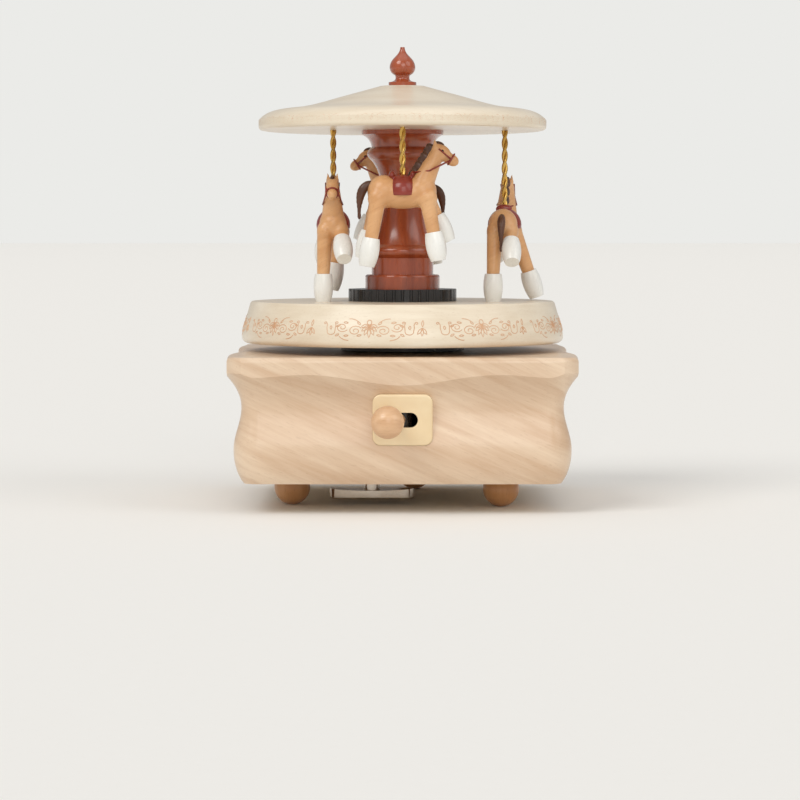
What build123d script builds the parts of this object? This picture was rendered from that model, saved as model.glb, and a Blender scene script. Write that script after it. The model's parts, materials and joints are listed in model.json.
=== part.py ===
from build123d import *
import math
import os

# Wind-up turned-maple music box with a rotating carousel deck.
# Millimetres, +Z up. Inside this file the turntable axis is X = Y = 0 and the floor is Z = 0;
# save() then shifts every piece so that the origin is the middle of the whole box on the floor.

# ---- clearances ----
RUN = 0.05            # radial clearance of anything that turns in a hole
SEAT = 0.02           # radial clearance of glued and pressed pegs
AIR = 0.3             # gap kept between faces that move past each other
PAST = 1.0            # how far a cutting tool runs past a face

# ---- base housing ----
BASE_HALF = 61.85     # half width at the top band
BASE_BOTTOM = 10.5
BASE_TOP = 54.4
BAND_FOOT = 48.9      # height where the upright top band ends
WAIST_Z = 36.8
WAIST_IN = 6.05       # how far the waist is drawn in from the band
BULGE_Z = 22.2
BULGE_IN = 3.3
HEEL_IN = 6.8         # draw-in at the bottom edge
CORNER_R = 12.0
EDGE_R = 1.7
WALL = 14.0           # wood between the band and the cavity
CAVITY_R = 6.0
ROOF = 7.0            # wood left over the cavity
WAVE_DEEP = 3.4       # plan recess of the serpentine band at the middle of a side
WAVE_CREST = 0.3
WAVE_CREST_X = 34.0
WAVE_END = 1.2
WAVE_END_X = 48.0
WAVE_OUT = 0.4        # recess past the corner, where the wave runs out
SHELF = 5.0           # width of the ledge that carries the bottom cover

# ---- bottom cover and feet ----
COVER_T = 4.0
COVER_R = 8.0
COVER_GAP = 0.15
SCREW_R = 1.1
SCREW_GAP = 0.1
SCREW_HEAD_R = 2.1
SCREW_HEAD_T = 1.2
SCREW_SLOT_W = 0.6
SCREW_SLOT_DEEP = 0.4
COVER_SCREW_L = 12.0
COVER_SCREW_Y = 30.0
FOOT_R = 6.45
FOOT_FLAT = 0.1       # wear flat where a ball touches the table
FOOT_INSET = 9.6      # ledge to the circle of the feet
FOOT_TURN = -6.0      # degrees the triangle of feet is turned from square
FOOT_ANGLES = (210, 330, 90)
FOOT_PEG_R = 2.5
FOOT_PEG_L = 3.4
PEG_END = 0.2         # air left at the blind end of a hole

# ---- switch plate ----
PLATE_W = 20.7
PLATE_H = 17.7
PLATE_R = 2.9
PLATE_T = 3.0
PLATE_EDGE = 0.7
PLATE_Z = 32.9
SLOT_W = 10.5
SLOT_H = 5.15
WINDOW_W = 14.0
WINDOW_H = 8.0

# ---- start and stop lever ----
LEVER_INSET = 9.65    # band to the pivot, inwards
LEVER_LEAN = 16.0     # degrees to the left of square at rest
KNOB_R = 5.65
KNOB_REACH = 18.5     # pivot to knob centre
KNOB_SOCKET = 2.3     # how far the stem enters the knob
STEM_R = 2.3
STEM_BACK_R = 2.0
STEM_NECK_R = 1.6
HUB_R = 3.3
ARM_T = 1.4
LEVER_PIN_R = 0.9
PIN_GRIP = 3.0        # pin length held in the wood over the window
FINGER_R = 0.8
FINGER_DROP = 2.0     # how far the finger hangs past the middle of the brake drum
STOP_GAP = 0.44       # finger to drum

# ---- winding key and barrel ----
KEY_X = -11.0
KEY_Y = -16.0
KEY_LONG = 30.2
KEY_DEEP = 9.0
KEY_T = 3.0
KEY_BOTTOM = 1.95
KEY_BOW = 0.7
KEY_EDGE = 0.6
KEY_HUB_R = 2.8
KEY_HUB_TOP = 10.2
KEY_HOLE_GAP = 1.0
KEY_FLOOR = 1.0       # metal left under the square hole
ARBOR_R = 1.75
ARBOR_CORE_R = 3.5
BARREL_WALL = 1.2
BARREL_RIM = 1.0      # drum to the root of its teeth
BARREL_BASE = 18.6
BARREL_TOP = 27.6
CAP_T = 1.0
WHEEL_T = 2.0
SPRING_T = 0.4
SPRING_PITCH = 1.2
SPRING_CLEAR = 0.6    # core to the first turn
SPRING_OUTER = 0.1    # last turn to the drum
CLUTCH_R = 4.2

# ---- gear train ----
PINION_TEETH = 12     # on the turntable spindle
PINION_OVER = 0.3     # how far the spindle pinion overhangs the wheel, each side
WHEEL_TEETH = 44      # round the barrel
CROWN_PINS = 28       # upright pins on the barrel cap
CROWN_INSET = 1.6     # pin circle to the drum's edge
CROWN_PIN_R = 0.4
CROWN_PIN_H = 1.2
CROWN_DIP = 0.9       # how deep a leaf reaches between the pins
LANTERN_TEETH = 8     # leaves on the cylinder end, driven by the pins
LANTERN_W = 1.6
FINE_MODULE = 0.45
CYL_WHEEL_TEETH = 40
IDLER_LEAVES = 10
IDLER_TEETH = 30
FLY_LEAVES = 8
IDLER_ANGLE = 210.0   # direction from the cylinder axis to the idler axis
FLY_ANGLE = 110.0     # direction from the idler axis to the fly axis
ADDENDUM = 0.75       # tooth height over the pitch circle, in modules
DEDENDUM = 1.1        # tooth depth under it, in modules
TOOTH_TIP = 0.13      # half width of a tooth's tip, in tooth spacings
TOOTH_ROOT = 0.29

# ---- pinned cylinder, comb and frame ----
CYL_R = 6.5
CYL_LONG = 19.5
CYL_ARBOR_R = 1.0
PIN_R = 0.3
PIN_OUT = 0.8
PIN_IN = 0.5
PIN_TURN = 47.0       # degrees from one note's pins to the next
PIN_SKIP = 31.0       # extra degrees within each group of notes
PIN_GROUP = 5
PINS_PER_NOTE = 3
COMB_TEETH = 18
COMB_T = 1.0
COMB_GAP = 0.25       # cut between two comb teeth
COMB_ROOT = 8.0
COMB_TOOTH = 11.0
COMB_SCREW_L = 5.0
BED_T = 2.0
BED_R = 3.0
BED_MARGIN = 1.4      # bedplate edge past what stands on it
BED_LEFT_REACH = 22.0 # key axis to the left edge
BED_SCREW_IN = 4.0
BED_SCREW_L = 4.5
FRAME_T = 1.5
FRAME_R = 4.0
FRAME_RIM = 3.8       # metal round the outer bearing holes
FRAME_BACK_REACH = 6.0
FLANGE_W = 5.0
FLANGE_H = 1.2
DRUM_R = 3.0
DRUM_T = 1.5
DRUM_SIDE = 1.6       # brake drum to the left frame plate
BLADE_R = 5.0
BLADE_T = 0.5
BLADE_CORE = 0.8      # wall of the sleeve that carries the blades
BLADE_GAP = 4.0       # blades to the left frame plate
WHEEL_STEP = 4.5      # right frame plate to the cylinder wheel
WHEEL_W = 1.4
IDLER_STEP = 2.6      # cylinder wheel to the idler wheel
IDLER_W = 1.2
LEAF_OVER = 0.2       # how far a pinion overhangs its wheel, each side
TRAIN_GAP = 0.9       # air between the drum of pins and the wheels

# ---- turntable ----
SPINDLE_R = 2.5
SPINDLE_END = 0.2
STEP_WALL = 1.5
BUSH_R = 4.0
BUSH_COLLAR = 2.5
BUSH_COLLAR_T = 1.2
WASHER_R = 6.5
FLANGE_R = 22.4       # black boss under the disc
FLANGE_T = 2.8
DISC_R = 58.3
DISC_TOP_R = 55.2
DISC_T = 14.85
DISC_LIP = 1.4        # rounding of the lower edge
DISC_EDGE = 0.6
TOP_PLATE_R = 19.6
TOP_PLATE_T = 4.4
FLUTES = 40
FLUTE_R = 0.6
FLUTE_OUT = 0.2
RING_R = 13.5
RING_T = 5.2
RING_EDGE = 0.8
COLUMN_R = 11.2
COLUMN_H = 52.0
TORUS = 1.6           # how far the column's lower bead stands out
BEAD_H = 6.0
WAIST_R = 7.8
CAPITAL = 3.6         # how far the capital stands out
CANOPY_R = 52.0
CANOPY_RIM = 5.0
CANOPY_RISE = 11.0
CANOPY_EDGE = 1.4
CANOPY_CROWN_R = 8.0
FINIAL_R = 5.0
FINIAL_H = 14.0
FINIAL_TIP_R = 0.8

# ---- ponies ----
HOOF_R = 3.5
HOOF_END_R = 2.6
HOOF_TOP_R = 2.95
HOOF_H = 10.0
LEG_R = 2.7
LEG_TAPER = 0.3
BODY_R = 5.6
BODY_L = 24.0
BODY_Z = 27.0         # middle of a pony's body over its lowest hoof
HIP_X = 8.6
HIP_DROP = 2.0        # hip below the middle of the body
HIP_SIDE = 2.8
HIGH_LIFT = 11.5      # how much higher the front and rear ponies hang
UPRIGHT_LEAN = 12.0   # degrees; a standing leg within this keeps its hoof square
NECK_X = 7.4
NECK_R = 4.4
NECK_TOP_R = 2.6
NECK_L = 14.0
NECK_LEAN = 24.0
HEAD_X = 15.8
HEAD_Z = 12.3         # middle of the head over the middle of the body
HEAD_R = 3.0
NOSE_R = 1.9
HEAD_L = 11.0
HEAD_LEAN = 118.0
EAR_X = 11.0
EAR_Z = 17.6
EAR_SIDE = 1.5
EAR_R = 0.9
EAR_TIP_R = 0.3
EAR_H = 3.4
SADDLE_T = 0.9
SADDLE_L = 7.0
MANE_X = 7.4
MANE_Z = 10.2
MANE_DEEP = 3.2
MANE_T = 1.6
MANE_L = 10.0
TAIL_OUT = 1.6
TAIL_R = 1.1
TAIL_END_R = 1.6
TAIL_L = 10.0
TAIL_LEAN = 18.0
POLE_R = 1.2
POLE_IN = 4.0         # pole end let into the canopy
POLE_SOCKET = 2.0     # pole end below the middle of a pony's body
LEFT_X = -25.0
LEFT_Y = -3.0
LEFT_HEADING = -90.0
RIGHT_X = 37.0
RIGHT_Y = -1.0
RIGHT_HEADING = 83.0
HIGH_Y = 35.0         # front and rear ponies, from the turntable axis
REACH_OUT = 20.0      # a forehoof thrown forward
REACH_UP = 13.5
KICK_OUT = 19.0       # a hind hoof thrown back
KICK_UP = 12.5
THROW_SPLAY = 1.5
# each leg: hoof forward of the centre, side (1 left, -1 right), hoof splayed outwards, hoof raised
THROWN_FORE = (REACH_OUT, 1, THROW_SPLAY, REACH_UP)
THROWN_HIND = (-KICK_OUT, -1, THROW_SPLAY, KICK_UP)
LEFT_LEGS = ((9.0, -1, 0.6, 0.0), (-8.0, 1, -3.8, 3.4), THROWN_FORE, THROWN_HIND)
RIGHT_LEGS = ((-10.5, 1, 0.4, 0.0), (11.0, -1, 8.2, 0.4), THROWN_FORE, THROWN_HIND)
HIGH_LEGS = ((12.5, -1, 0.8, 3.0), (16.0, 1, 0.8, 9.0), (-12.5, -1, 0.8, 1.0), (-14.0, 1, 0.8, 3.5))

# ---- sizes that follow ----
CAVITY_HALF = BASE_HALF - WALL
LEDGE_HALF = CAVITY_HALF + SHELF
CORE_HALF = BASE_HALF - CORNER_R
COVER_TOP = BASE_BOTTOM + COVER_T
CAVITY_TOP = BASE_TOP - ROOF
FOOT_CIRCLE = LEDGE_HALF - FOOT_INSET
BED_TOP = COVER_TOP + BED_T
PLATE_BACK = -(BASE_HALF - WAIST_IN)
WINDOW_TOP = PLATE_Z + WINDOW_H / 2
FLANGE_Z = BASE_TOP + AIR
DISC_Z = FLANGE_Z + FLANGE_T
DISC_TOP = DISC_Z + DISC_T
RING_Z = DISC_TOP + TOP_PLATE_T
COLUMN_Z = RING_Z + RING_T
CANOPY_Z = COLUMN_Z + COLUMN_H
CANOPY_TOP = CANOPY_Z + CANOPY_RIM + CANOPY_RISE
LEVER_PIVOT_Y = -(BASE_HALF - LEVER_INSET)
KNOB_Y = LEVER_PIVOT_Y - KNOB_REACH * math.cos(math.radians(LEVER_LEAN))
FRAME_SHIFT = -(BASE_HALF - WAVE_CREST + KNOB_Y - KNOB_R) / 2
KEY_AXIS = math.hypot(KEY_X, KEY_Y)
COARSE_MODULE = 2 * KEY_AXIS / (PINION_TEETH + WHEEL_TEETH)
GREAT_WHEEL_R = WHEEL_TEETH * COARSE_MODULE / 2
BARREL_R = GREAT_WHEEL_R - DEDENDUM * COARSE_MODULE - BARREL_RIM
CROWN_R = BARREL_R - CROWN_INSET
CROWN_PITCH = 2 * math.pi * CROWN_R / CROWN_PINS
LANTERN_MODULE = CROWN_PITCH / math.pi
LANTERN_R = LANTERN_TEETH * LANTERN_MODULE / 2
CAP_TOP = BARREL_TOP + CAP_T
CYL_Y = KEY_Y
CYL_Z = CAP_TOP + CROWN_PIN_H - CROWN_DIP + LANTERN_R + ADDENDUM * LANTERN_MODULE
IDLER_DIST = FINE_MODULE * (CYL_WHEEL_TEETH + IDLER_LEAVES) / 2
IDLER_Y = CYL_Y + IDLER_DIST * math.cos(math.radians(IDLER_ANGLE))
IDLER_Z = CYL_Z + IDLER_DIST * math.sin(math.radians(IDLER_ANGLE))
FLY_DIST = FINE_MODULE * (IDLER_TEETH + FLY_LEAVES) / 2
FLY_Y = IDLER_Y + FLY_DIST * math.cos(math.radians(FLY_ANGLE))
FLY_Z = IDLER_Z + FLY_DIST * math.sin(math.radians(FLY_ANGLE))
FRAME_LEFT = KEY_X + GREAT_WHEEL_R + ADDENDUM * COARSE_MODULE + PAST
CYL_FROM = FRAME_LEFT + FRAME_T + TRAIN_GAP
CYL_TO = CYL_FROM + CYL_LONG
FRAME_RIGHT = CYL_TO + TRAIN_GAP + IDLER_STEP + LEAF_OVER + WHEEL_STEP
CYL_WHEEL_X = FRAME_RIGHT - WHEEL_STEP
IDLER_WHEEL_X = CYL_WHEEL_X - IDLER_STEP
FRAME_FRONT = FLY_Y - FRAME_RIM
FRAME_BACK = CYL_Y + FRAME_BACK_REACH
FRAME_TOP = FLY_Z + FRAME_RIM
TRAIN_END = FRAME_RIGHT + FRAME_T
COMB_TIP_Y = CYL_Y + CYL_R + PIN_OUT + AIR
COMB_BACK_Y = COMB_TIP_Y + COMB_TOOTH + COMB_ROOT
COMB_SCREW_Y = COMB_BACK_Y - COMB_ROOT / 2
BED_LEFT = KEY_X - BED_LEFT_REACH
BED_RIGHT = TRAIN_END + BED_MARGIN
BED_FRONT = FRAME_FRONT - BED_MARGIN
BED_BACK = COMB_BACK_Y + BED_MARGIN
HUB_BASE = PLATE_Z - WINDOW_H / 2 + AIR
HUB_TOP = WINDOW_TOP - AIR
FINGER_X = FRAME_LEFT - DRUM_SIDE - DRUM_T / 2
FINGER_Y = FLY_Y - DRUM_R - STOP_GAP - FINGER_R - LEVER_PIVOT_Y
PONIES = (  # name, centre x, centre y, heading, lift, legs
    ("left", LEFT_X, LEFT_Y, LEFT_HEADING, 0.0, LEFT_LEGS),
    ("right", RIGHT_X, RIGHT_Y, RIGHT_HEADING, 0.0, RIGHT_LEGS),
    ("front", 0.0, -HIGH_Y, 0.0, HIGH_LIFT, HIGH_LEGS),
    ("rear", 0.0, HIGH_Y, 180.0, HIGH_LIFT, HIGH_LEGS),
)


# ---------------------------------------------------------------- helpers
def save(shape, node):
    export_step(Pos(0, FRAME_SHIFT, 0) * shape, f"parts/{node}.step")


def rod(radius, low, high, x=0.0, y=0.0):
    """Upright round bar between two heights."""
    return Pos(x, y, (low + high) / 2) * Cylinder(radius, high - low)


def rod_x(radius, start, end, y, z):
    """Round bar along X."""
    return Pos((start + end) / 2, y, z) * Rot(0, 90, 0) * Cylinder(radius, end - start)


def rod_y(radius, start, end, z):
    """Round bar along Y, reaching towards -Y from start to end."""
    return Pos(0, -(start + end) / 2, z) * Rot(90, 0, 0) * Cylinder(radius, end - start)


def block(x0, x1, y0, y1, z0, z1):
    return Pos((x0 + x1) / 2, (y0 + y1) / 2, (z0 + z1) / 2) * Box(x1 - x0, y1 - y0, z1 - z0)


def slab(half, radius, low, high):
    """Square plate with rounded corners."""
    return Pos(0, 0, low) * extrude(RectangleRounded(2 * half, 2 * half, radius), high - low)


def turned(*runs):
    """Lathe-turned solid about Z, closed along the axis.

    Each run is a list of (radius, height) points from foot to top: two points make a straight
    line, more make a smooth curve. A run starts where the one before it ends.
    """
    edges = []
    for run in runs:
        points = [(r, 0, z) for r, z in run]
        edges.append(Line(*points) if len(points) == 2 else Spline(*points))
    (first_r, first_z), (last_r, last_z) = runs[0][0], runs[-1][-1]
    back = Polyline((last_r, 0, last_z), (0, 0, last_z), (0, 0, first_z), (first_r, 0, first_z))
    return revolve(make_face(edges + [back]), Axis.Z)


def gear(teeth, module, width, turn=0.0):
    """Wheel with straight-sided teeth about Z, one tooth centred on angle turn."""
    pitch_r = teeth * module / 2
    tip = pitch_r + ADDENDUM * module
    root = pitch_r - DEDENDUM * module
    step = 2 * math.pi / teeth
    flank = ((root, TOOTH_ROOT), (tip, TOOTH_TIP), (tip, -TOOTH_TIP), (root, -TOOTH_ROOT))
    points = []
    for i in range(teeth):
        middle = math.radians(turn) + i * step
        for radius, half in flank:
            angle = middle - half * step
            points.append((radius * math.cos(angle), radius * math.sin(angle)))
    return extrude(make_face(Polyline(*points, close=True)), width)


def along_x(shape, x, y, z):
    """Turn a wheel made about Z so that its axis is X and its angle 0 points along +Y."""
    return Pos(x, y, z) * Rot(0, 90, 0) * Rot(0, 0, 90) * shape


def group(solids):
    """Separate solids that share one node."""
    return Compound(list(solids))


def screw(x, y, head_z, length, way):
    """Slotted screw whose shank runs down from its head for way -1, or up for way 1."""
    shank = rod(SCREW_R, min(0, way * length), max(0, way * length))
    head = rod(SCREW_HEAD_R, min(0, -way * SCREW_HEAD_T), max(0, -way * SCREW_HEAD_T))
    slot = Box(3 * SCREW_HEAD_R, SCREW_SLOT_W, 2 * SCREW_SLOT_DEEP)
    return Pos(x, y, head_z) * (shank + head - Pos(0, 0, -way * SCREW_HEAD_T) * slot)


# ---------------------------------------------------------------- base
def side_face():
    """Section of the moulding in the XZ plane, from the inner core to the moulded side."""
    heel = (BASE_HALF - HEEL_IN, 0, BASE_BOTTOM)
    bulge = (BASE_HALF - BULGE_IN, 0, BULGE_Z)
    waist = (BASE_HALF - WAIST_IN, 0, WAIST_Z)
    band = (BASE_HALF, 0, BAND_FOOT)
    curve = Spline(heel, bulge, waist, band,
                   tangents=((0.75, 0, 1), (0, 0, 1), (0, 0, 1), (1, 0, 1.1)))
    rest = Polyline(band, (BASE_HALF, 0, BASE_TOP), (CORE_HALF, 0, BASE_TOP),
                    (CORE_HALF, 0, BASE_BOTTOM), heel)
    return make_face([curve, rest])


def moulded_block():
    body = block(-CORE_HALF, CORE_HALF, -CORE_HALF, CORE_HALF, BASE_BOTTOM, BASE_TOP)
    face = side_face()
    wing = Pos(0, CORE_HALF, 0) * extrude(face, 2 * CORE_HALF, dir=(0, -1, 0))
    corner = Pos(CORE_HALF, CORE_HALF, 0) * revolve(Pos(-CORE_HALF, 0, 0) * face, Axis.Z, 90)
    for i in range(4):
        body += Rot(0, 0, 90 * i) * wing
        body += Rot(0, 0, 90 * i) * corner
    return body


def band_wave():
    """What the serpentine top band loses on one side."""
    out = BASE_HALF + 4 * PAST
    front = -BASE_HALF
    line = Spline((-out, front + WAVE_OUT), (-WAVE_END_X, front + WAVE_END),
                  (-WAVE_CREST_X, front + WAVE_CREST), (0, front + WAVE_DEEP),
                  (WAVE_CREST_X, front + WAVE_CREST), (WAVE_END_X, front + WAVE_END),
                  (out, front + WAVE_OUT))
    edge = Polyline((out, front + WAVE_OUT), (out, -out), (-out, -out), (-out, front + WAVE_OUT))
    return Pos(0, 0, WAIST_Z) * extrude(make_face([line, edge]), BASE_TOP - WAIST_Z + PAST)


def base_housing():
    body = moulded_block()
    for i in range(4):
        body -= Rot(0, 0, 90 * i) * band_wave()
    body = fillet(body.edges().group_by(Axis.Z)[-1], EDGE_R)
    body -= slab(CAVITY_HALF, CAVITY_R, BASE_BOTTOM - PAST, CAVITY_TOP)
    body -= slab(LEDGE_HALF, COVER_R, BASE_BOTTOM - PAST, COVER_TOP)
    body -= rod(BUSH_R + SEAT, CAVITY_TOP - PAST, BASE_TOP + PAST)
    recess = RectangleRounded(PLATE_W + 2 * SEAT, PLATE_H + 2 * SEAT, PLATE_R)
    body -= Pos(0, PLATE_BACK, PLATE_Z) * Rot(90, 0, 0) * extrude(recess, WALL)
    body -= block(-WINDOW_W / 2, WINDOW_W / 2, -BASE_HALF, -CAVITY_HALF + PAST,
                  PLATE_Z - WINDOW_H / 2, WINDOW_TOP)
    body -= rod(LEVER_PIN_R + SEAT, COVER_TOP - PAST, WINDOW_TOP + PIN_GRIP + PEG_END,
                0, LEVER_PIVOT_Y)
    for x, y in cover_screw_spots():
        body -= rod(SCREW_R, COVER_TOP - PAST, BASE_BOTTOM + COVER_SCREW_L + PEG_END, x, y)
    return body


def cover_screw_spots():
    x = CAVITY_HALF + SHELF / 2
    return [(sx * x, sy * COVER_SCREW_Y) for sx in (-1, 1) for sy in (-1, 1)]


def foot_spots():
    spots = []
    for angle in FOOT_ANGLES:
        a = math.radians(angle + FOOT_TURN)
        spots.append((FOOT_CIRCLE * math.cos(a), FOOT_CIRCLE * math.sin(a)))
    return spots


def bottom_cover():
    cover = slab(LEDGE_HALF - COVER_GAP, COVER_R - COVER_GAP, BASE_BOTTOM, COVER_TOP)
    low, high = BASE_BOTTOM - PAST, COVER_TOP + PAST
    cover -= rod(KEY_HUB_R + KEY_HOLE_GAP, low, high, KEY_X, KEY_Y)
    for x, y in cover_screw_spots():
        cover -= rod(SCREW_R + SCREW_GAP, low, high, x, y)
        cover -= rod(SCREW_HEAD_R + SCREW_GAP, low, BASE_BOTTOM + SCREW_HEAD_T, x, y)
    for x, y in foot_spots():
        cover -= rod(FOOT_PEG_R + SEAT, low, BASE_BOTTOM + FOOT_PEG_L + PEG_END, x, y)
    for x, y in bed_screw_spots():
        cover -= rod(SCREW_R, BED_TOP - BED_SCREW_L - PEG_END, high, x, y)
    return cover


def cover_screws():
    head_z = BASE_BOTTOM + SCREW_HEAD_T
    length = COVER_SCREW_L - SCREW_HEAD_T
    return group([screw(x, y, head_z, length, 1) for x, y in cover_screw_spots()])


def ball_foot(x, y):
    ball = Pos(0, 0, FOOT_R - FOOT_FLAT) * Sphere(FOOT_R)
    ball &= Pos(0, 0, BASE_BOTTOM / 2) * Box(4 * FOOT_R, 4 * FOOT_R, BASE_BOTTOM)
    return Pos(x, y, 0) * (ball + rod(FOOT_PEG_R, BASE_BOTTOM - PAST, BASE_BOTTOM + FOOT_PEG_L))


def switch_plate():
    sheet = extrude(RectangleRounded(PLATE_W, PLATE_H, PLATE_R), PLATE_T)
    sheet = fillet(sheet.faces().sort_by(Axis.Z)[-1].edges(), PLATE_EDGE)
    sheet -= Pos(0, 0, -PAST) * extrude(SlotOverall(SLOT_W, SLOT_H), PLATE_T + 2 * PAST)
    return Pos(0, PLATE_BACK, PLATE_Z) * Rot(90, 0, 0) * sheet


# ---------------------------------------------------------------- lever
def at_lever(shape):
    """Put a piece made about the pivot, reaching along -Y, at its leaning rest place."""
    return Pos(0, LEVER_PIVOT_Y, 0) * Rot(0, 0, -LEVER_LEAN) * shape


def lever_pin():
    """Pin pushed up from the ledge through the window, held by the wood on both sides of it."""
    return rod(LEVER_PIN_R, COVER_TOP, WINDOW_TOP + PIN_GRIP, 0, LEVER_PIVOT_Y)


def lever_hub():
    """Boss on the pin, with the arm that carries the stop finger to the brake drum."""
    hub = rod(HUB_R, HUB_BASE, HUB_TOP)
    reach = math.hypot(FINGER_X, FINGER_Y)
    turn = math.degrees(math.atan2(FINGER_Y, FINGER_X)) + LEVER_LEAN
    arm = block(0, reach, -FINGER_R, FINGER_R, HUB_TOP - ARM_T, HUB_TOP)
    arm += rod(FINGER_R, FLY_Z - FINGER_DROP, HUB_TOP, reach, 0)
    hub += Rot(0, 0, turn) * arm
    hub -= rod(LEVER_PIN_R + RUN, HUB_BASE - PAST, HUB_TOP + PAST)
    hub -= stem_neck(STEM_NECK_R + SEAT)
    return at_lever(hub)


def stem_neck(radius):
    """Thin inner end of the stem, from beside the pin to the foot of the taper."""
    return rod_y(radius, LEVER_PIN_R + AIR, HUB_R + PAST, PLATE_Z)


def lever_stem():
    start = HUB_R + AIR
    end = KNOB_REACH - KNOB_R + KNOB_SOCKET
    cone = Cone(STEM_BACK_R, STEM_R, end - start)
    body = Pos(0, -(start + end) / 2, PLATE_Z) * Rot(90, 0, 0) * cone
    return at_lever(stem_neck(STEM_NECK_R) + body)


def lever_knob():
    ball = Pos(0, -KNOB_REACH, PLATE_Z) * Sphere(KNOB_R)
    end = KNOB_REACH - KNOB_R + KNOB_SOCKET
    return at_lever(ball - rod_y(STEM_R + SEAT, KNOB_REACH - 2 * KNOB_R, end, PLATE_Z))


# ---------------------------------------------------------------- key and barrel
def at_key(shape):
    return Pos(KEY_X, KEY_Y, 0) * shape


def winding_key():
    """Flat wing, dished along its top, on a round hub."""
    wing = Pos(0, 0, KEY_BOTTOM) * extrude(SlotOverall(KEY_LONG, KEY_DEEP), KEY_T + KEY_BOW)
    wing = fillet(wing.faces().sort_by(Axis.Z)[0].edges(), KEY_EDGE)
    bow_r = (KEY_LONG ** 2 / 4) / (2 * KEY_BOW)
    dish = Pos(0, 0, KEY_BOTTOM + KEY_T + bow_r) * Rot(90, 0, 0) * Cylinder(bow_r, 4 * KEY_DEEP)
    wing -= dish
    wing += rod(KEY_HUB_R, KEY_BOTTOM + KEY_FLOOR, KEY_HUB_TOP)
    wing -= rod(ARBOR_R + SEAT, KEY_BOTTOM + KEY_FLOOR, KEY_HUB_TOP + PAST)
    return at_key(wing)


def winding_arbor():
    return at_key(rod(ARBOR_R, KEY_BOTTOM + KEY_FLOOR + PEG_END, BARREL_TOP - AIR))


def arbor_core():
    low = BARREL_BASE + BARREL_WALL + AIR
    high = BARREL_TOP - AIR
    return at_key(rod(ARBOR_CORE_R, low, high) - rod(ARBOR_R + SEAT, low - PAST, high + PAST))


def one_way_clutch():
    ring = rod(CLUTCH_R, BED_TOP, BARREL_BASE - AIR)
    return at_key(ring - rod(ARBOR_R + RUN, BED_TOP - PAST, BARREL_BASE + PAST))


def barrel_drum():
    floor_z = BARREL_BASE + BARREL_WALL
    drum = rod(BARREL_R, BARREL_BASE, BARREL_TOP)
    drum -= rod(BARREL_R - BARREL_WALL, floor_z, BARREL_TOP + PAST)
    toward = math.degrees(math.atan2(-KEY_Y, -KEY_X))
    wheel = Pos(0, 0, BARREL_BASE) * gear(WHEEL_TEETH, COARSE_MODULE, WHEEL_T, toward)
    drum += wheel - rod(BARREL_R - BARREL_WALL / 2, BARREL_BASE - PAST, BARREL_TOP)
    drum -= rod(ARBOR_R + RUN, BARREL_BASE - PAST, BARREL_TOP)
    return at_key(drum)


def barrel_cap():
    cap = rod(BARREL_R, BARREL_TOP, CAP_TOP)
    for i in range(CROWN_PINS):
        angle = math.radians((i + 0.5) * 360 / CROWN_PINS)
        x, y = CROWN_R * math.cos(angle), CROWN_R * math.sin(angle)
        cap += rod(CROWN_PIN_R, CAP_TOP - CAP_T / 2, CAP_TOP + CROWN_PIN_H, x, y)
    return at_key(cap)


def mainspring():
    """Flat spring as a spiral of half-turn arcs whose centres alternate."""
    first = ARBOR_CORE_R + SPRING_CLEAR
    last = BARREL_R - BARREL_WALL - SPRING_T - SPRING_OUTER
    half_turns = int((last - first) / (SPRING_PITCH / 2))
    shift = SPRING_PITCH / 4
    sides = []
    for thick in (0.0, SPRING_T):
        arcs = []
        for i in range(half_turns):
            radius = first + thick + i * SPRING_PITCH / 2
            way = 1 if i % 2 == 0 else -1
            centre = shift if i % 2 else -shift
            arcs.append(ThreePointArc((centre + way * radius, 0), (centre, way * radius),
                                      (centre - way * radius, 0)))
        sides.append(arcs)
    inner, outer = sides
    start = Line(inner[0] @ 0, outer[0] @ 0)
    end = Line(inner[-1] @ 1, outer[-1] @ 1)
    band = make_face(inner + outer + [start, end])
    low = BARREL_BASE + BARREL_WALL + AIR
    return at_key(Pos(0, 0, low) * extrude(band, BARREL_TOP - AIR - low))


# ---------------------------------------------------------------- movement
def bed_screw_spots():
    left, right = BED_LEFT + BED_SCREW_IN, BED_RIGHT - BED_SCREW_IN
    back = BED_BACK - BED_SCREW_IN
    return [(left, BED_FRONT + BED_SCREW_IN), (left, back), (right, back), (-BED_SCREW_IN, back)]


def bedplate():
    plate = block(BED_LEFT, BED_RIGHT, BED_FRONT, BED_BACK, COVER_TOP, BED_TOP)
    plate = fillet(plate.edges().filter_by(Axis.Z), BED_R)
    low, high = COVER_TOP - PAST, BED_TOP + PAST
    plate -= rod(ARBOR_R + RUN, low, high, KEY_X, KEY_Y)
    for x, y in bed_screw_spots():
        plate -= rod(SCREW_R + SCREW_GAP, low, high, x, y)
    return plate


def bedplate_screws():
    return group([screw(x, y, BED_TOP, BED_SCREW_L, -1) for x, y in bed_screw_spots()])


def frame_plate(x):
    """Upright plate with the train's bearing holes and a foot flange towards the left."""
    end = x + FRAME_T
    plate = block(x, end, FRAME_FRONT, FRAME_BACK, BED_TOP, FRAME_TOP)
    plate = fillet(plate.edges().filter_by(Axis.X).group_by(Axis.Z)[-1], FRAME_R)
    plate += block(x - FLANGE_W, end, FRAME_FRONT + FRAME_R, FRAME_BACK, BED_TOP,
                   BED_TOP + FLANGE_H)
    for y, z in ((CYL_Y, CYL_Z), (IDLER_Y, IDLER_Z), (FLY_Y, FLY_Z)):
        plate -= rod_x(CYL_ARBOR_R + RUN, x - PAST, end + PAST, y, z)
    return plate


def comb_screw_x():
    return [CYL_FROM + CYL_LONG * share for share in (0.2, 0.8)]


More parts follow.
